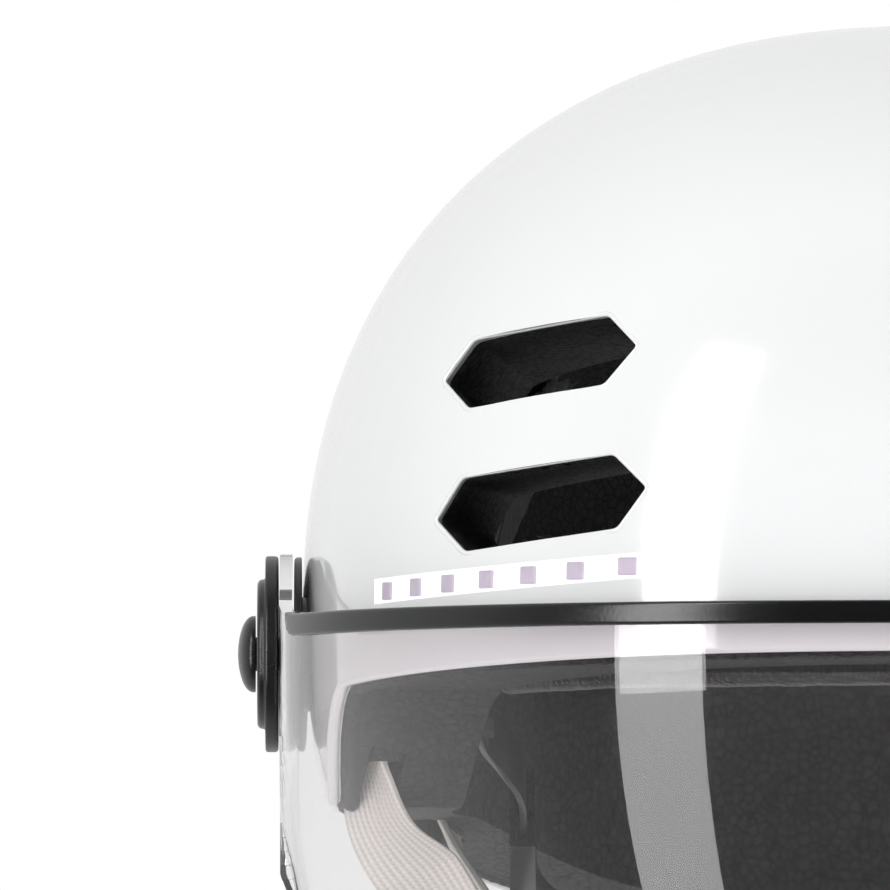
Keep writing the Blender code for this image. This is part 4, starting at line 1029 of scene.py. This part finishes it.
LENS = bpy.data.materials.new("clear_lens")
LENS.use_nodes = True
lens_tree = LENS.node_tree
lens_shader = lens_tree.nodes["Principled BSDF"]
lens_shader.inputs["Transmission Weight"].default_value = 1.0
lens_shader.inputs["IOR"].default_value = 1.46
lens_place = lens_tree.nodes.new("ShaderNodeTexCoord").outputs["Object"]
lens_grain = lens_tree.nodes.new("ShaderNodeGroup")
lens_grain.node_tree = GRAIN
lens_tree.links.new(lens_place, lens_grain.inputs["Vector"])
for label, value in (("Slow Scale", 9.0), ("Fine Scale", 30.0), ("Dark", (0.955, 0.925, 0.94, 1)),
                     ("Light", (0.975, 0.955, 0.965, 1)), ("Low Roughness", 0.0), ("High Roughness", 0.02)):
    lens_grain.inputs[label].default_value = value
lens_tree.links.new(lens_grain.outputs["Color"], lens_shader.inputs["Base Color"])
lens_tree.links.new(lens_grain.outputs["Roughness"], lens_shader.inputs["Roughness"])
lens_rays = lens_tree.nodes.new("ShaderNodeLightPath")
lens_free = node(lens_tree, "Math", {"operation": "MAXIMUM"}, i0=lens_rays.outputs["Is Shadow Ray"],
                 i1=lens_rays.outputs["Is Diffuse Ray"])
lens_pass = lens_tree.nodes.new("ShaderNodeBsdfTransparent")
lens_pass.inputs["Color"].default_value = (0.93, 0.91, 0.92, 1)
lens_mix = lens_tree.nodes.new("ShaderNodeMixShader")
lens_tree.links.new(lens_free.outputs[0], lens_mix.inputs[0])
lens_tree.links.new(lens_shader.outputs[0], lens_mix.inputs[1])
lens_tree.links.new(lens_pass.outputs[0], lens_mix.inputs[2])
lens_tree.links.new(lens_mix.outputs[0], lens_tree.nodes["Material Output"].inputs["Surface"])

lens = lens_slab("clear_visor", LENS_WALL, -LENS_DROP - 0.004, 0.022)
lens_skin = Smooth(lens)
cut_by(lens, side_prism("lens_outline", lens_outline(0.0)), "INTERSECT")
for label, side in SIDES:
    cut_by(lens, turned("lens_pivot_hole", [(0, 0.122), (0.0034, 0.122), (0.0034, 0.090), (0, 0.090)],
                        (0, 0, 0), (side, 0, 0), 32))
polished(lens, lens_skin)
painted(lens, LENS)
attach(lens, "visor")
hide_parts("visor_lens")


# ---- Visor edge seal ------------------------------------------------------------------------
# An extruded black rubber channel pushed over the lens's upper edge, so the visor closes softly
# against the shell. Its outer face is slightly crowned and its corners are round.
SEAL_HALF, SEAL_RISE, SEAL_GRIP, SEAL_END = 0.00215, 0.0010, 0.0029, -0.0370


SEAL_TURN = 0.0035


def seal_line(share):
    """A point on the lens's upper edge at a share of the seal's length, on the wall's middle surface."""
    y_end = SEAL_END
    angle_end = math.degrees(math.asin((-y_end / LENS_REACH) ** (LENS_ROUNDNESS / 2)))
    angle = angle_end + (180 - 2 * angle_end) * share
    height = LENS_TOP
    for _ in range(5):
        height = lens_top(lens_point(angle, height, 0).y)
    return lens_point(angle, height, 0)


def seal_section():
    """The channel's section: across the wall, and up from the lens's edge."""
    slot = LENS_WALL / 2 + 0.0001
    return rounded([(SEAL_HALF, -SEAL_GRIP), (SEAL_HALF, SEAL_RISE), (-SEAL_HALF, SEAL_RISE),
                    (-SEAL_HALF, -SEAL_GRIP), (-slot, -SEAL_GRIP), (-slot, -0.0001), (slot, -0.0001),
                    (slot, -SEAL_GRIP)], 0.0007, 4)


section = seal_section()
seal_steps = 300
seal_line_points = [seal_line(i / seal_steps) for i in range(seal_steps + 1)]
seal_frames = []
for i, here in enumerate(seal_line_points):
    along = (seal_line_points[min(i + 1, seal_steps)] - seal_line_points[max(i - 1, 0)]).normalized()
    outward = Vector((0, 0, 1)).cross(along)
    outward = (outward if outward.dot(Vector((here.x, here.y, 0))) > 0 else -outward).normalized()
    upward = along.cross(outward)
    seal_frames.append((here, outward, upward if upward.z > 0 else -upward))


def seal_place(u, v):
    here, outward, upward = seal_frames[round(u * seal_steps)]
    across, up = along_line([Vector((*p, 0)) for p in section], v if v < 1 else 0.0)[:2]
    crown = 0.00018 * math.sin(math.pi * min(max((up + SEAL_GRIP) / (SEAL_RISE + SEAL_GRIP), 0), 1))
    away = min((SEAL_END - here.y) / SEAL_TURN, 1.0)
    shrink = 1 - 0.55 * (1 - math.sqrt(max(1 - (1 - away) ** 2, 0.0)))
    up = SEAL_RISE - (SEAL_RISE - up) * shrink
    return here + outward * (across + math.copysign(crown * shrink, across)) + upward * up


seal = mapped("visor_edge_seal", seal_steps, len(section), seal_place)
only(seal)
bpy.ops.object.mode_set(mode="EDIT")
bpy.ops.mesh.select_all(action="DESELECT")
bpy.ops.mesh.select_non_manifold(extend=False)
bpy.ops.mesh.fill_holes(sides=0)
bpy.ops.mesh.select_all(action="SELECT")
bpy.ops.mesh.normals_make_consistent(inside=False)
bpy.ops.object.mode_set(mode="OBJECT")
bpy.ops.object.shade_smooth_by_angle(angle=math.radians(50))
painted(seal, RUBBER)
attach(seal, "visor")
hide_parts("visor_seal")


# ---- Visor pivots ---------------------------------------------------------------------------
# On each side a black disc with a raised step clamps the lens's ear against a spacer on the shell,
# and a domed knob holds the stack with its shank in a steel nut.
def smooth_turned(name, profile, point, axis, round_by, angle=28, steps=96):
    """A turned shape whose profile corners are rounded, with its creases kept sharp."""
    outline = []
    for i, corner in enumerate(profile):
        if 0 < i < len(profile) - 1 and round_by > 0:
            before, here, after = Vector(profile[i - 1]), Vector(corner), Vector(profile[i + 1])
            cut = min(round_by, (before - here).length * 0.45, (after - here).length * 0.45)
            start, end = here + (before - here).normalized() * cut, here + (after - here).normalized() * cut
            outline += [start.lerp(here, t).lerp(here.lerp(end, t), t) for t in (0, 0.25, 0.5, 0.75, 1)]
        else:
            outline.append(Vector(corner))
    piece = turned(name, [tuple(p) for p in outline], point, axis, steps)
    only(piece)
    bpy.ops.object.shade_smooth_by_angle(angle=math.radians(angle))
    return piece


HOLE, SHANK, DISC, STEP, KNOB = 0.0034, 0.0030, 0.0172, 0.0130, 0.0067
for label, side in SIDES:
    axis = (side, 0, 0)
    disc = smooth_turned(f"visor_disc_{label}",
                         [(HOLE, 0.1197), (0.0072, 0.1197), (0.0080, 0.1193), (STEP - 0.0006, 0.1197),
                          (STEP, 0.1193), (STEP + 0.0002, 0.1183), (DISC - 0.0002, 0.11825), (DISC, 0.1179),
                          (DISC, 0.1164), (DISC - 0.0003, 0.1160), (HOLE, 0.1160), (HOLE, 0.1197)],
                         (0, 0, 0), axis, 0.00035)
    painted(disc, SATIN_BLACK)
    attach(disc, "visor")
    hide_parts(f"pivot_disc_{label}")

    cap = [(0, 0.1231)] + [(KNOB * math.sin(math.radians(a)), 0.1204 + 0.0027 * math.cos(math.radians(a)))
                           for a in range(6, 91, 6)]
    knob = smooth_turned(f"visor_knob_{label}",
                         [*cap, (KNOB, 0.1200), (SHANK, 0.1200), (SHANK, 0.1012), (0, 0.1012)],
                         (0, 0, 0), axis, 0.0, angle=40)
    slot_cut = block("coin_slot", (0.0022, 0.0014, 0.0095), (side * 0.1233, 0, 0))
    finished_by(slot_cut, "BEVEL", width=0.0004, segments=3)
    cut_by(knob, slot_cut)
    only(knob)
    bpy.ops.object.shade_smooth_by_angle(angle=math.radians(30))
    painted(knob, SATIN_BLACK)
    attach(knob, f"knob_{label}")
    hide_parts(f"pivot_knob_{label}")

    spacer = smooth_turned(f"visor_spacer_{label}",
                           [(HOLE, 0.1132), (0.0166, 0.1132), (0.0170, 0.1128), (0.0170, 0.1120),
                            (0.0168, 0.1119),
                            (0.0100, 0.1119), (0.0100, 0.1085), (HOLE, 0.1085), (HOLE, 0.1132)],
                           (0, 0, 0), axis, 0.0002)
    cut_by(spacer, dome_form("spacer_seat", -0.0001))
    only(spacer)
    bpy.ops.object.shade_smooth_by_angle(angle=math.radians(30))
    painted(spacer, SATIN_BLACK)
    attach(spacer, "helmet")
    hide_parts(f"pivot_spacer_{label}")


# ---- Fit ring: two arms, a cradle and a dial --------------------------------------------------
# Two thin nylon arms clip into the foam at the temples and run back through a cradle behind the
# head, where a ratchet dial with a fluted rubber grip draws them in. Cradle and dial slide as one.
FIT_TILT = math.radians(20)
FIT_TURN = Matrix.Rotation(-FIT_TILT, 3, "X")
FIT_PLACE = set_at((0, 0, -0.016), FIT_TURN)
RING_HALF, RING_CORNER, RING_DEPTH, RING_ROUNDNESS = 0.0735, 0.068, 0.050, 2.4
BAND_HALF, BAND_WALL, CRADLE_WALL, CRADLE_HALF = 0.0050, 0.0011, 0.0046, 0.0070
DIAL_BACK = RING_CORNER + RING_DEPTH
DIAL_AXIS = FIT_TURN @ Vector((0, 1, 0))
ARM_FRONT = [(0.0812, -0.018), (0.0798, -0.009), (0.0768, 0.001), (RING_HALF, 0.016), (RING_HALF, 0.040)]


def ring_point(angle, offset):
    """Plan point of the ring's round part; 0 is its left end and 90 the nape."""
    across, back = math.cos(math.radians(angle)), math.sin(math.radians(angle))
    power = 2 / RING_ROUNDNESS
    return Vector((math.copysign(abs(across) ** power, across) * (RING_HALF + offset),
                   RING_CORNER + abs(back) ** power * (RING_DEPTH + offset)))


def ring_band(name, path_of, wall, half_height, offset=0.0, raised=0.0):
    """An upright band in the ring's plane along path_of(offset)."""
    outer, inner = path_of(offset + wall / 2), path_of(offset - wall / 2)
    return prism(name, [tuple(p) for p in outer + inner[::-1]], 2 * half_height,
                 FIT_PLACE @ Matrix.Translation((0, 0, raised)))


def arm_path(side, end, offset):
    """A left or right arm: from the temple straight along the head, then round the nape."""
    front = [Vector((u + offset, v)) for u, v in ARM_FRONT[:-1]]
    line = curve_through([*front, Vector((RING_HALF + offset, 0.040))], 6)
    line += [ring_point(end * i / 40, offset) for i in range(41)]
    return [Vector((p.x * side, p.y)) for p in line]


def cradle_path(front, offset):
    bend = [ring_point(180 * i / 96, offset) for i in range(97)]
    return [Vector((RING_HALF + offset, front)), *bend, Vector((-RING_HALF - offset, front))]


def on_ring(u, v, w):
    return FIT_PLACE @ Vector((u, v, w))


def eased(piece, width, finish, angle=30, segments=3, smooth=40):
    """Rounds a piece's sharp edges and gives it its finish."""
    finished_by(piece, "BEVEL", width=width, segments=segments, limit_method="ANGLE",
                angle_limit=math.radians(angle))
    only(piece)
    bpy.ops.object.shade_smooth_by_angle(angle=math.radians(smooth))
    painted(piece, finish)
    return piece


for label, side in SIDES:
    arm = ring_band(f"headband_arm_{label}", lambda offset: arm_path(side, 68, offset), BAND_WALL,
                    BAND_HALF)
    cut_by(arm, turned("arm_stud", [(0, 0.0070), (0.0026, 0.0070), (0.0030, 0.0066), (0.0030, -0.0025),
                                    (0, -0.0025)], on_ring(side * 0.0808, -0.0125, 0), (side, 0, 0), 40),
           "UNION")
    rack_line = [65 + 39 * i / 40 for i in range(41)]
    rack = ring_band("arm_rack", lambda offset: [Vector((p.x * side, p.y)) for p in
                                                 (ring_point(a, offset) for a in rack_line)],
                     BAND_WALL, 0.0009, raised=side * 0.0043)
    cut_by(arm, rack, "UNION")
    eased(arm, 0.0003, SATIN_BLACK, segments=2)
    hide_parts(f"headband_{label}")
    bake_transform(arm)

cradle = ring_band("nape_cradle", lambda offset: cradle_path(0.030, offset), CRADLE_WALL, CRADLE_HALF)
cut_by(cradle, turned("dial_housing", [(0, 0.0075), (0.0165, 0.0075), (0.0180, 0.0060), (0.0180, -0.0020),
                                       (0, -0.0020)], on_ring(0, DIAL_BACK, 0), DIAL_AXIS, 96), "UNION")
cut_by(cradle, ring_band("cradle_slot", lambda offset: cradle_path(0.028, offset), BAND_WALL + 0.0010,
                         BAND_HALF + 0.0005))
cut_by(cradle, turned("dial_bore", [(0, 0.0200), (0.0066, 0.0200), (0.0066, 0.0003), (0, 0.0003)],
                      on_ring(0, DIAL_BACK, 0), DIAL_AXIS, 64))
eased(cradle, 0.0005, SATIN_BLACK)
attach(cradle, "cradle")
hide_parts("fit_cradle")

DIAL_FLUTES, FLUTE_DEPTH = 20, 0.0011
DIAL_PROFILE = [(0, 0.0163), (0.0050, 0.0162), (0.0088, 0.0161), (0.0100, 0.0163), (0.0108, 0.0164),
                (0.0117, 0.0160),
                (0.0123, 0.0152), (0.0125, 0.0142), (0.0125, 0.0130), (0.0125, 0.0115), (0.0125, 0.0100),
                (0.0124, 0.0088), (0.0121, 0.0080), (0.0115, 0.0078), (0.0060, 0.0078), (0.0060, 0.0025),
                (0.0040, 0.0025), (0.0034, 0.0023), (0.0034, -0.0005), (0, -0.0005)]


def dial_grip(u, v):
    """The dial: a turned form whose rim is cut by shallow flutes."""
    turn = 2 * math.pi * u
    radius, height = DIAL_PROFILE[round(v * (len(DIAL_PROFILE) - 1))]
    wave = 0.5 - 0.5 * math.cos(DIAL_FLUTES * turn)
    flute = smooth_step((radius - 0.0100) / 0.0020) * FLUTE_DEPTH * wave ** 2
    return on_ring((radius - flute) * math.cos(turn), DIAL_BACK + height, (radius - flute) * math.sin(turn))


dial = mapped("dial_grip", 320, len(DIAL_PROFILE) - 1, dial_grip)
only(dial)
bpy.ops.object.shade_smooth_by_angle(angle=math.radians(50))
painted(dial, RUBBER)
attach(dial, "dial")
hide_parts("fit_dial")


# ---- Comfort pads -----------------------------------------------------------------------------
# Soft foam pads in a black knitted cloth, pressed into the cavity with hook tape: one across the
# brow, one each side and one at the crown. The cradle has its own pad, and one rides on the chin strap.
KNIT_CLOTH, knit_in, knit_out = effect(
    "knitted_cloth",
    [("Vector", VECTOR, None), ("Loop Scale", FLOAT, 900.0), ("Dark", COLOUR, (0.01, 0.01, 0.01, 1)),
     ("Light", COLOUR, (0.05, 0.05, 0.05, 1))],
    [("Color", COLOUR), ("Roughness", FLOAT), ("Height", FLOAT)])
loops = node(KNIT_CLOTH, "TexVoronoi", {"feature": "SMOOTH_F1"}, Vector=knit_in.outputs["Vector"],
             Scale=knit_in.outputs["Loop Scale"], Randomness=0.35, Smoothness=0.4)
fuzz = node(KNIT_CLOTH, "TexNoise", Vector=knit_in.outputs["Vector"], Scale=60.0, Detail=4.0)
loop_mask = node(KNIT_CLOTH, "MapRange", i0=loops.outputs["Distance"], i1=0.1, i2=0.6, i3=1.0, i4=0.0)
# The colour is lighter on the raised loops and darker between them, following the loop relief: painted shade;
# the fuzz noise adds real random tone.
loop_shade_and_fuzz = node(KNIT_CLOTH, "Math", {"operation": "MULTIPLY"}, i0=loop_mask.outputs[0],
                 i1=fuzz.outputs["Fac"])
knit_colour = node(KNIT_CLOTH, "Mix", {"data_type": "RGBA"}, i0=loop_shade_and_fuzz.outputs[0],
                   i6=knit_in.outputs["Dark"],
                   i7=knit_in.outputs["Light"])
knit_rough = node(KNIT_CLOTH, "MapRange", i0=fuzz.outputs["Fac"], i1=0.2, i2=0.8, i3=0.82, i4=0.98)
for source_socket, name_out in ((knit_colour.outputs[2], "Color"), (knit_rough.outputs[0], "Roughness"),
                                (loop_mask.outputs[0], "Height")):
    KNIT_CLOTH.links.new(source_socket, knit_out.inputs[name_out])


def cloth_finish(name, group, scales, dark, light, bump, coords="Object", **plain):
    """A cloth material whose tone, roughness and relief come from a cloth group."""
    made, tree, shader, place = finish_of(name, coords, **plain)
    weave = tree.nodes.new("ShaderNodeGroup")
    weave.node_tree = group
    tree.links.new(place, weave.inputs["Vector"])
    for key, value in {**scales, "Dark": (*dark, 1), "Light": (*light, 1)}.items():
        weave.inputs[key].default_value = value
    relief = node(tree, "Bump", Strength=0.8, Distance=bump, Height=weave.outputs["Height"])
    for source_socket, target in ((weave.outputs["Color"], "Base Color"),
                                  (weave.outputs["Roughness"], "Roughness"),
                                  (relief.outputs[0], "Normal")):
        tree.links.new(source_socket, shader.inputs[target])
    return made


KNIT = cloth_finish("black_knit", KNIT_CLOTH, {"Loop Scale": 1100.0}, (0.008, 0.008, 0.009),
                    (0.050, 0.050, 0.052),
                    0.00025, Sheen_Weight=0.25, Sheen_Roughness=0.5, Specular_IOR_Level=0.25)


def inside_cavity(point, inset=GAP):
    """Moves a point that lies past the head cavity's wall back onto it."""
    half = CAVITY_HALF - Vector((inset, inset, inset))
    offset = point - DOME_MIDDLE
    shares = [abs(o / h) ** ROUNDNESS for o, h in zip(offset, half)]
    upright = point.z < DOME_MIDDLE.z
    size = sum(shares[:2] if upright else shares) ** (1 / ROUNDNESS)
    if size <= 1:
        return point
    height = offset.z if upright else offset.z / size
    return DOME_MIDDLE + Vector((offset.x / size, offset.y / size, height))


def stuffed(node_name, name, voxel, swell, slack=0.0005, cavity=True):
    """A foam pad in its cloth: the CAD solid remeshed, blown up a little as cloth and held to the cavity."""
    pad = linked(name, NODES[node_name].data.copy())
    merged(pad, 2e-6)
    finished_by(pad, "REMESH", mode="VOXEL", voxel_size=voxel)
    finished_by(pad, "SMOOTH", factor=0.5, iterations=5)
    for vert in pad.data.vertices:
        vert.co -= vert.normal * slack
    start = [vert.co.copy() for vert in pad.data.vertices]
    only(pad)
    cloth = pad.modifiers.new("cloth", "CLOTH")
    cloth.settings.use_pressure = True
    cloth.settings.uniform_pressure_force = 4.0
    cloth.settings.effector_weights.gravity = 0.0
    for frame_number in range(1, 21):
        bpy.context.scene.frame_set(frame_number)
    bpy.ops.object.modifier_apply(modifier=cloth.name)
    bpy.context.scene.frame_set(1)
    for vert, before in zip(pad.data.vertices, start):
        moved = vert.co - before
        if moved.length > swell:
            vert.co = before + moved.normalized() * swell
    finished_by(pad, "SUBSURF", levels=1, render_levels=1)
    pad.data.shade_smooth()
    if cavity:
        for vert in pad.data.vertices:
            vert.co = inside_cavity(vert.co)
        pad.data.update()
    painted(pad, KNIT)
    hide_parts(node_name)
    return pad


def seamed(pad, seams, depth, width=0.0016):
    """Draws a pad in along sewn channels; each seam is a plane's point and direction."""
    pad.data.update()
    moves = []
    for vert in pad.data.vertices:
        facing = vert.normal.dot((DOME_MIDDLE - vert.co).normalized())
        pull = 0.0
        for point, direction in seams:
            distance = (vert.co - Vector(point)).dot(Vector(direction).normalized())
            pull = max(pull, math.exp(-(distance / width) ** 2))
        moves.append(vert.co - vert.normal * depth * pull * smooth_step(facing * 2))
    for vert, place in zip(pad.data.vertices, moves):
        vert.co = place
    pad.data.update()


brow = stuffed("brow_pad", "brow_pad_knit", 0.0022, 0.0009)
BROW_SEAMS = [(DOME_MIDDLE, (math.cos(math.radians(a)), math.sin(math.radians(a)), 0))
              for a in (-39, -13, 13, 39)]
seamed(brow, BROW_SEAMS, 0.0022)
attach(brow, "helmet")
for label, side in SIDES:
    side_pad = stuffed(f"side_pad_{label}", f"side_pad_knit_{label}", 0.0020, 0.0009)
    seamed(side_pad, [((side * 0.08, 0.039, 0), (0, 1, 0))], 0.0020)
    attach(side_pad, "helmet")
crown = stuffed("crown_pad", "crown_pad_knit", 0.0020, 0.0009)
seamed(crown, [(DOME_MIDDLE, (1, 0, 0))], 0.0020)
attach(crown, "helmet")
nape = stuffed("cradle_pad", "cradle_pad_knit", 0.0018, 0.0007, 0.0006, cavity=False)
seamed(nape, [(on_ring(u, DIAL_BACK, 0), (1, 0, 0)) for u in (-0.022, 0.022)], 0.0012)
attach(nape, "cradle")


# ---- Webbing straps -----------------------------------------------------------------------------
# Ribbed cream polyester webbing, 16.5 mm wide. On each side a front and a rear strap hang from
# anchors moulded into the foam and meet at a lever divider below the ear; two chin straps go on.
WEAVE, weave_in, weave_out = effect(
    "ribbed_webbing",
    [("Vector", VECTOR, None), ("Ribs", FLOAT, 8.0), ("Picks", FLOAT, 11.0),
     ("Dark", COLOUR, (0.5, 0.5, 0.5, 1)),
     ("Light", COLOUR, (0.8, 0.8, 0.8, 1))],
    [("Color", COLOUR), ("Roughness", FLOAT), ("Height", FLOAT)])
threads = node(WEAVE, "SeparateXYZ", Vector=weave_in.outputs["Vector"])
rib_turn = node(WEAVE, "Math", {"operation": "MULTIPLY"}, i0=threads.outputs["X"],
                i1=weave_in.outputs["Ribs"])
rib_full = node(WEAVE, "Math", {"operation": "MULTIPLY"}, i0=rib_turn.outputs[0], i1=2 * math.pi)
rib_wave = node(WEAVE, "Math", {"operation": "SINE"}, i0=rib_full.outputs[0])
pick_turn = node(WEAVE, "Math", {"operation": "MULTIPLY"}, i0=threads.outputs["Y"],
                 i1=weave_in.outputs["Picks"])
pick_full = node(WEAVE, "Math", {"operation": "MULTIPLY_ADD"}, i0=pick_turn.outputs[0], i1=2 * math.pi)
rib_lean = node(WEAVE, "Math", {"operation": "MULTIPLY"}, i0=rib_wave.outputs[0], i1=1.4)
WEAVE.links.new(rib_lean.outputs[0], pick_full.inputs[2])
pick_wave = node(WEAVE, "Math", {"operation": "SINE"}, i0=pick_full.outputs[0])
half_picks = node(WEAVE, "Math", {"operation": "MULTIPLY"}, i0=pick_wave.outputs[0], i1=0.45)
thread_height = node(WEAVE, "Math", {"operation": "ADD"}, i0=rib_wave.outputs[0], i1=half_picks.outputs[0])
thread_mask = node(WEAVE, "MapRange", i0=thread_height.outputs[0], i1=-1.4, i2=1.4, i3=0.0, i4=1.0)
# The colour is darker in the grooves between the ribs and picks, following the thread relief: painted shade;
# the fibre noise adds real random tone.
fibres = node(WEAVE, "TexNoise", Vector=weave_in.outputs["Vector"], Scale=22.0, Detail=3.0)
fibre_tone_and_groove_shade = node(WEAVE, "Math", {"operation": "MULTIPLY_ADD"}, i0=fibres.outputs["Fac"], i1=0.35)
groove_shade_share = node(WEAVE, "Math", {"operation": "MULTIPLY"}, i0=thread_mask.outputs[0], i1=0.8)
WEAVE.links.new(groove_shade_share.outputs[0], fibre_tone_and_groove_shade.inputs[2])
web_colour = node(WEAVE, "Mix", {"data_type": "RGBA"}, i0=fibre_tone_and_groove_shade.outputs[0],
                  i6=weave_in.outputs["Dark"],
                  i7=weave_in.outputs["Light"])
web_rough = node(WEAVE, "MapRange", i0=thread_mask.outputs[0], i1=0.0, i2=1.0, i3=0.9, i4=0.65)
for source_socket, name_out in ((web_colour.outputs[2], "Color"), (web_rough.outputs[0], "Roughness"),
                                (thread_mask.outputs[0], "Height")):
    WEAVE.links.new(source_socket, weave_out.inputs[name_out])
# The dark colour fills the weave's grooves as painted shade.
WEBBING = cloth_finish("cream_webbing", WEAVE, {"Ribs": 7.7, "Picks": 10.5}, (0.56, 0.53, 0.47),
                       (0.90, 0.88, 0.83),
                       0.00016, "UV", Sheen_Weight=0.15, Specular_IOR_Level=0.3)

WEB_WIDTH, WEB_THICK, WEB_ROWS, WEB_RIBS = 0.0165, 0.0016, 150, 11
STRAP_SPLIT, UV_STEP = 0.0014, 0.010
FRONT_STRAP = ([(0.0990, -0.013, -0.0130), (0.0990, -0.012, -0.0200), (0.0965, -0.009, -0.0310),
                (0.0870, 0.000, -0.0425), (0.0765, 0.010, -0.0520), (0.0680, 0.0185, -0.0605)],
               [(0.97, -0.24, 0.0), (0.88, -0.47, -0.02), (0.40, -0.90, -0.15),
                (0.66, -0.52, -0.50), (0.777, 0.014, -0.628), (0.777, 0.014, -0.628)])
REAR_STRAP = ([(0.0900, 0.080, -0.0200), (0.0890, 0.079, -0.0290), (0.0840, 0.066, -0.0390),
               (0.0760, 0.044, -0.0490), (0.0690, 0.025, -0.0590)],
              [(0.96, 0.28, 0.0), (0.95, 0.28, -0.10), (0.86, 0.18, -0.45), (0.80, 0.06, -0.60),
               (0.777, 0.014, -0.628)])
LEFT_CHIN = ([(0.0624, 0.0183, -0.0665), (0.0554, 0.0145, -0.0768), (0.0490, 0.0055, -0.0940),
              (0.0369, -0.0015, -0.1067)],
             [(0.777, 0.014, -0.628), (0.80, 0.0, -0.60), (0.66, 0.0, -0.75), (0.45, 0.0, -0.89)])
RIGHT_CHIN = ([(-0.0624, 0.0183, -0.0665), (-0.0554, 0.0145, -0.0768), (-0.0450, 0.0030, -0.0995),
               (-0.0240, -0.0060, -0.1160), (-0.0010, -0.0090, -0.1215), (0.0216, -0.0055, -0.1153)],
              [(-0.777, 0.014, -0.628), (-0.80, 0.0, -0.60), (-0.60, 0.0, -0.80), (-0.38, 0.0, -0.92),
               (0.02, 0.0, -1.0), (0.45, 0.0, -0.89)])


def mirrored(points, side):
    return [Vector((p[0] * side, p[1], p[2])) for p in points]


def capped(piece):
    """Closes a tube's open ends and turns its faces outwards."""
    only(piece)
    bpy.ops.object.mode_set(mode="EDIT")
    bpy.ops.mesh.select_all(action="DESELECT")
    bpy.ops.mesh.select_non_manifold(extend=False)
    bpy.ops.mesh.fill_holes(sides=0)
    bpy.ops.mesh.select_all(action="SELECT")
    bpy.ops.mesh.normals_make_consistent(inside=False)
    bpy.ops.object.mode_set(mode="OBJECT")
    return piece


def webbing(name, strap, side, lift, node_name):
    """A flat ribbed strap through given points, and its cut length."""
    knots, normals = mirrored(strap[0], side), mirrored(strap[1], side)
    route = even_line(curve_through(knots, 12), WEB_ROWS + 1, False)
    facing = [n.normalized() for n in even_line(curve_through(normals, 12), WEB_ROWS + 1, False)]
    half, thick = WEB_WIDTH / 2, WEB_THICK / 2
    outline = even_line([(*p, 0)
                         for p in rounded([(half, -thick), (half, thick), (-half, thick), (-half, -thick)],
                                                  0.0006, 4)], 144)
    length = sum((b - a).length for a, b in zip(route, route[1:]))

    def place(u, v):
        k = round(v * WEB_ROWS)
        along = (route[min(k + 1, WEB_ROWS)] - route[max(k - 1, 0)]).normalized()
        across, up = along_line(outline, u if u < 1 else 0.0)[:2]
        rib = 0.00011 * (1 - abs(math.cos(math.pi * WEB_RIBS * (across / WEB_WIDTH + 0.5))) ** 1.5)
        up = math.copysign(max(abs(up) - 0.00011 + rib, 0.0), up)
        return route[k] + facing[k] * (lift + up) + facing[k].cross(along).normalized() * across

    piece = capped(mapped(name, 144, WEB_ROWS, place))
    for corner in piece.data.uv_layers.active.data:
        corner.uv = corner.uv[0] * 2 * WEB_WIDTH / UV_STEP, corner.uv[1] * length / UV_STEP
    only(piece)
    bpy.ops.object.shade_smooth_by_angle(angle=math.radians(60))
    painted(piece, WEBBING)
    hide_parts(node_name)
    return piece, length


def softened(node_name, name, body, width, finish, angle=30):
    """A moulded part from its CAD node, with its facets joined and its edges rounded."""
    piece = linked(name, NODES[node_name].data.copy())
    merged(piece, 2e-6)
    finished_by(piece, "DECIMATE", decimate_type="DISSOLVE", angle_limit=math.radians(1))
    eased(piece, width, finish, angle)
    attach(piece, body)
    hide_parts(node_name)
    return piece


for label, side in SIDES:
    for place_name, strap, lift in (("front", FRONT_STRAP, STRAP_SPLIT),
                                    ("rear", REAR_STRAP, -STRAP_SPLIT)):
        softened(f"{place_name}_anchor_{label}", f"{place_name}_strap_anchor_{label}", "helmet", 0.0006,
                 SATIN_BLACK)
        piece, length = webbing(f"{place_name}_webbing_{label}", strap, side, lift,
                                f"{place_name}_strap_{label}")
        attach(piece, "helmet")
    softened(f"strap_divider_{label}", f"lever_divider_{label}", "helmet", 0.0007, SATIN_BLACK)
    softened(f"divider_lever_{label}", f"locking_lever_{label}", f"lever_{label}", 0.0004, SATIN_BLACK)


# ---- Chin straps and buckle -----------------------------------------------------------------------
# The two chin straps meet at a side-entry buckle under the left of the chin. A rubber keeper holds
# the left strap's loose end, and a soft sleeve pad sits on the right strap under the chin.
softened("buckle_socket", "buckle_socket_body", "helmet", 0.0008, SATIN_BLACK)
softened("buckle_plug", "buckle_plug_body", "plug", 0.0006, SATIN_BLACK)
softened("webbing_keeper", "rubber_keeper", "helmet", 0.0006, RUBBER)
right_chin, right_length = webbing("chin_webbing_right", RIGHT_CHIN, 1, 0.0, "chin_strap_right")
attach(right_chin, "helmet")
left_chin, left_length = webbing("chin_webbing_left", LEFT_CHIN, 1, 0.0, "chin_strap_left")
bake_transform(left_chin)
chin_sleeve = stuffed("chin_pad", "chin_sleeve_pad", 0.0014, 0.0006, 0.0004, cavity=False)
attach(chin_sleeve, "helmet")
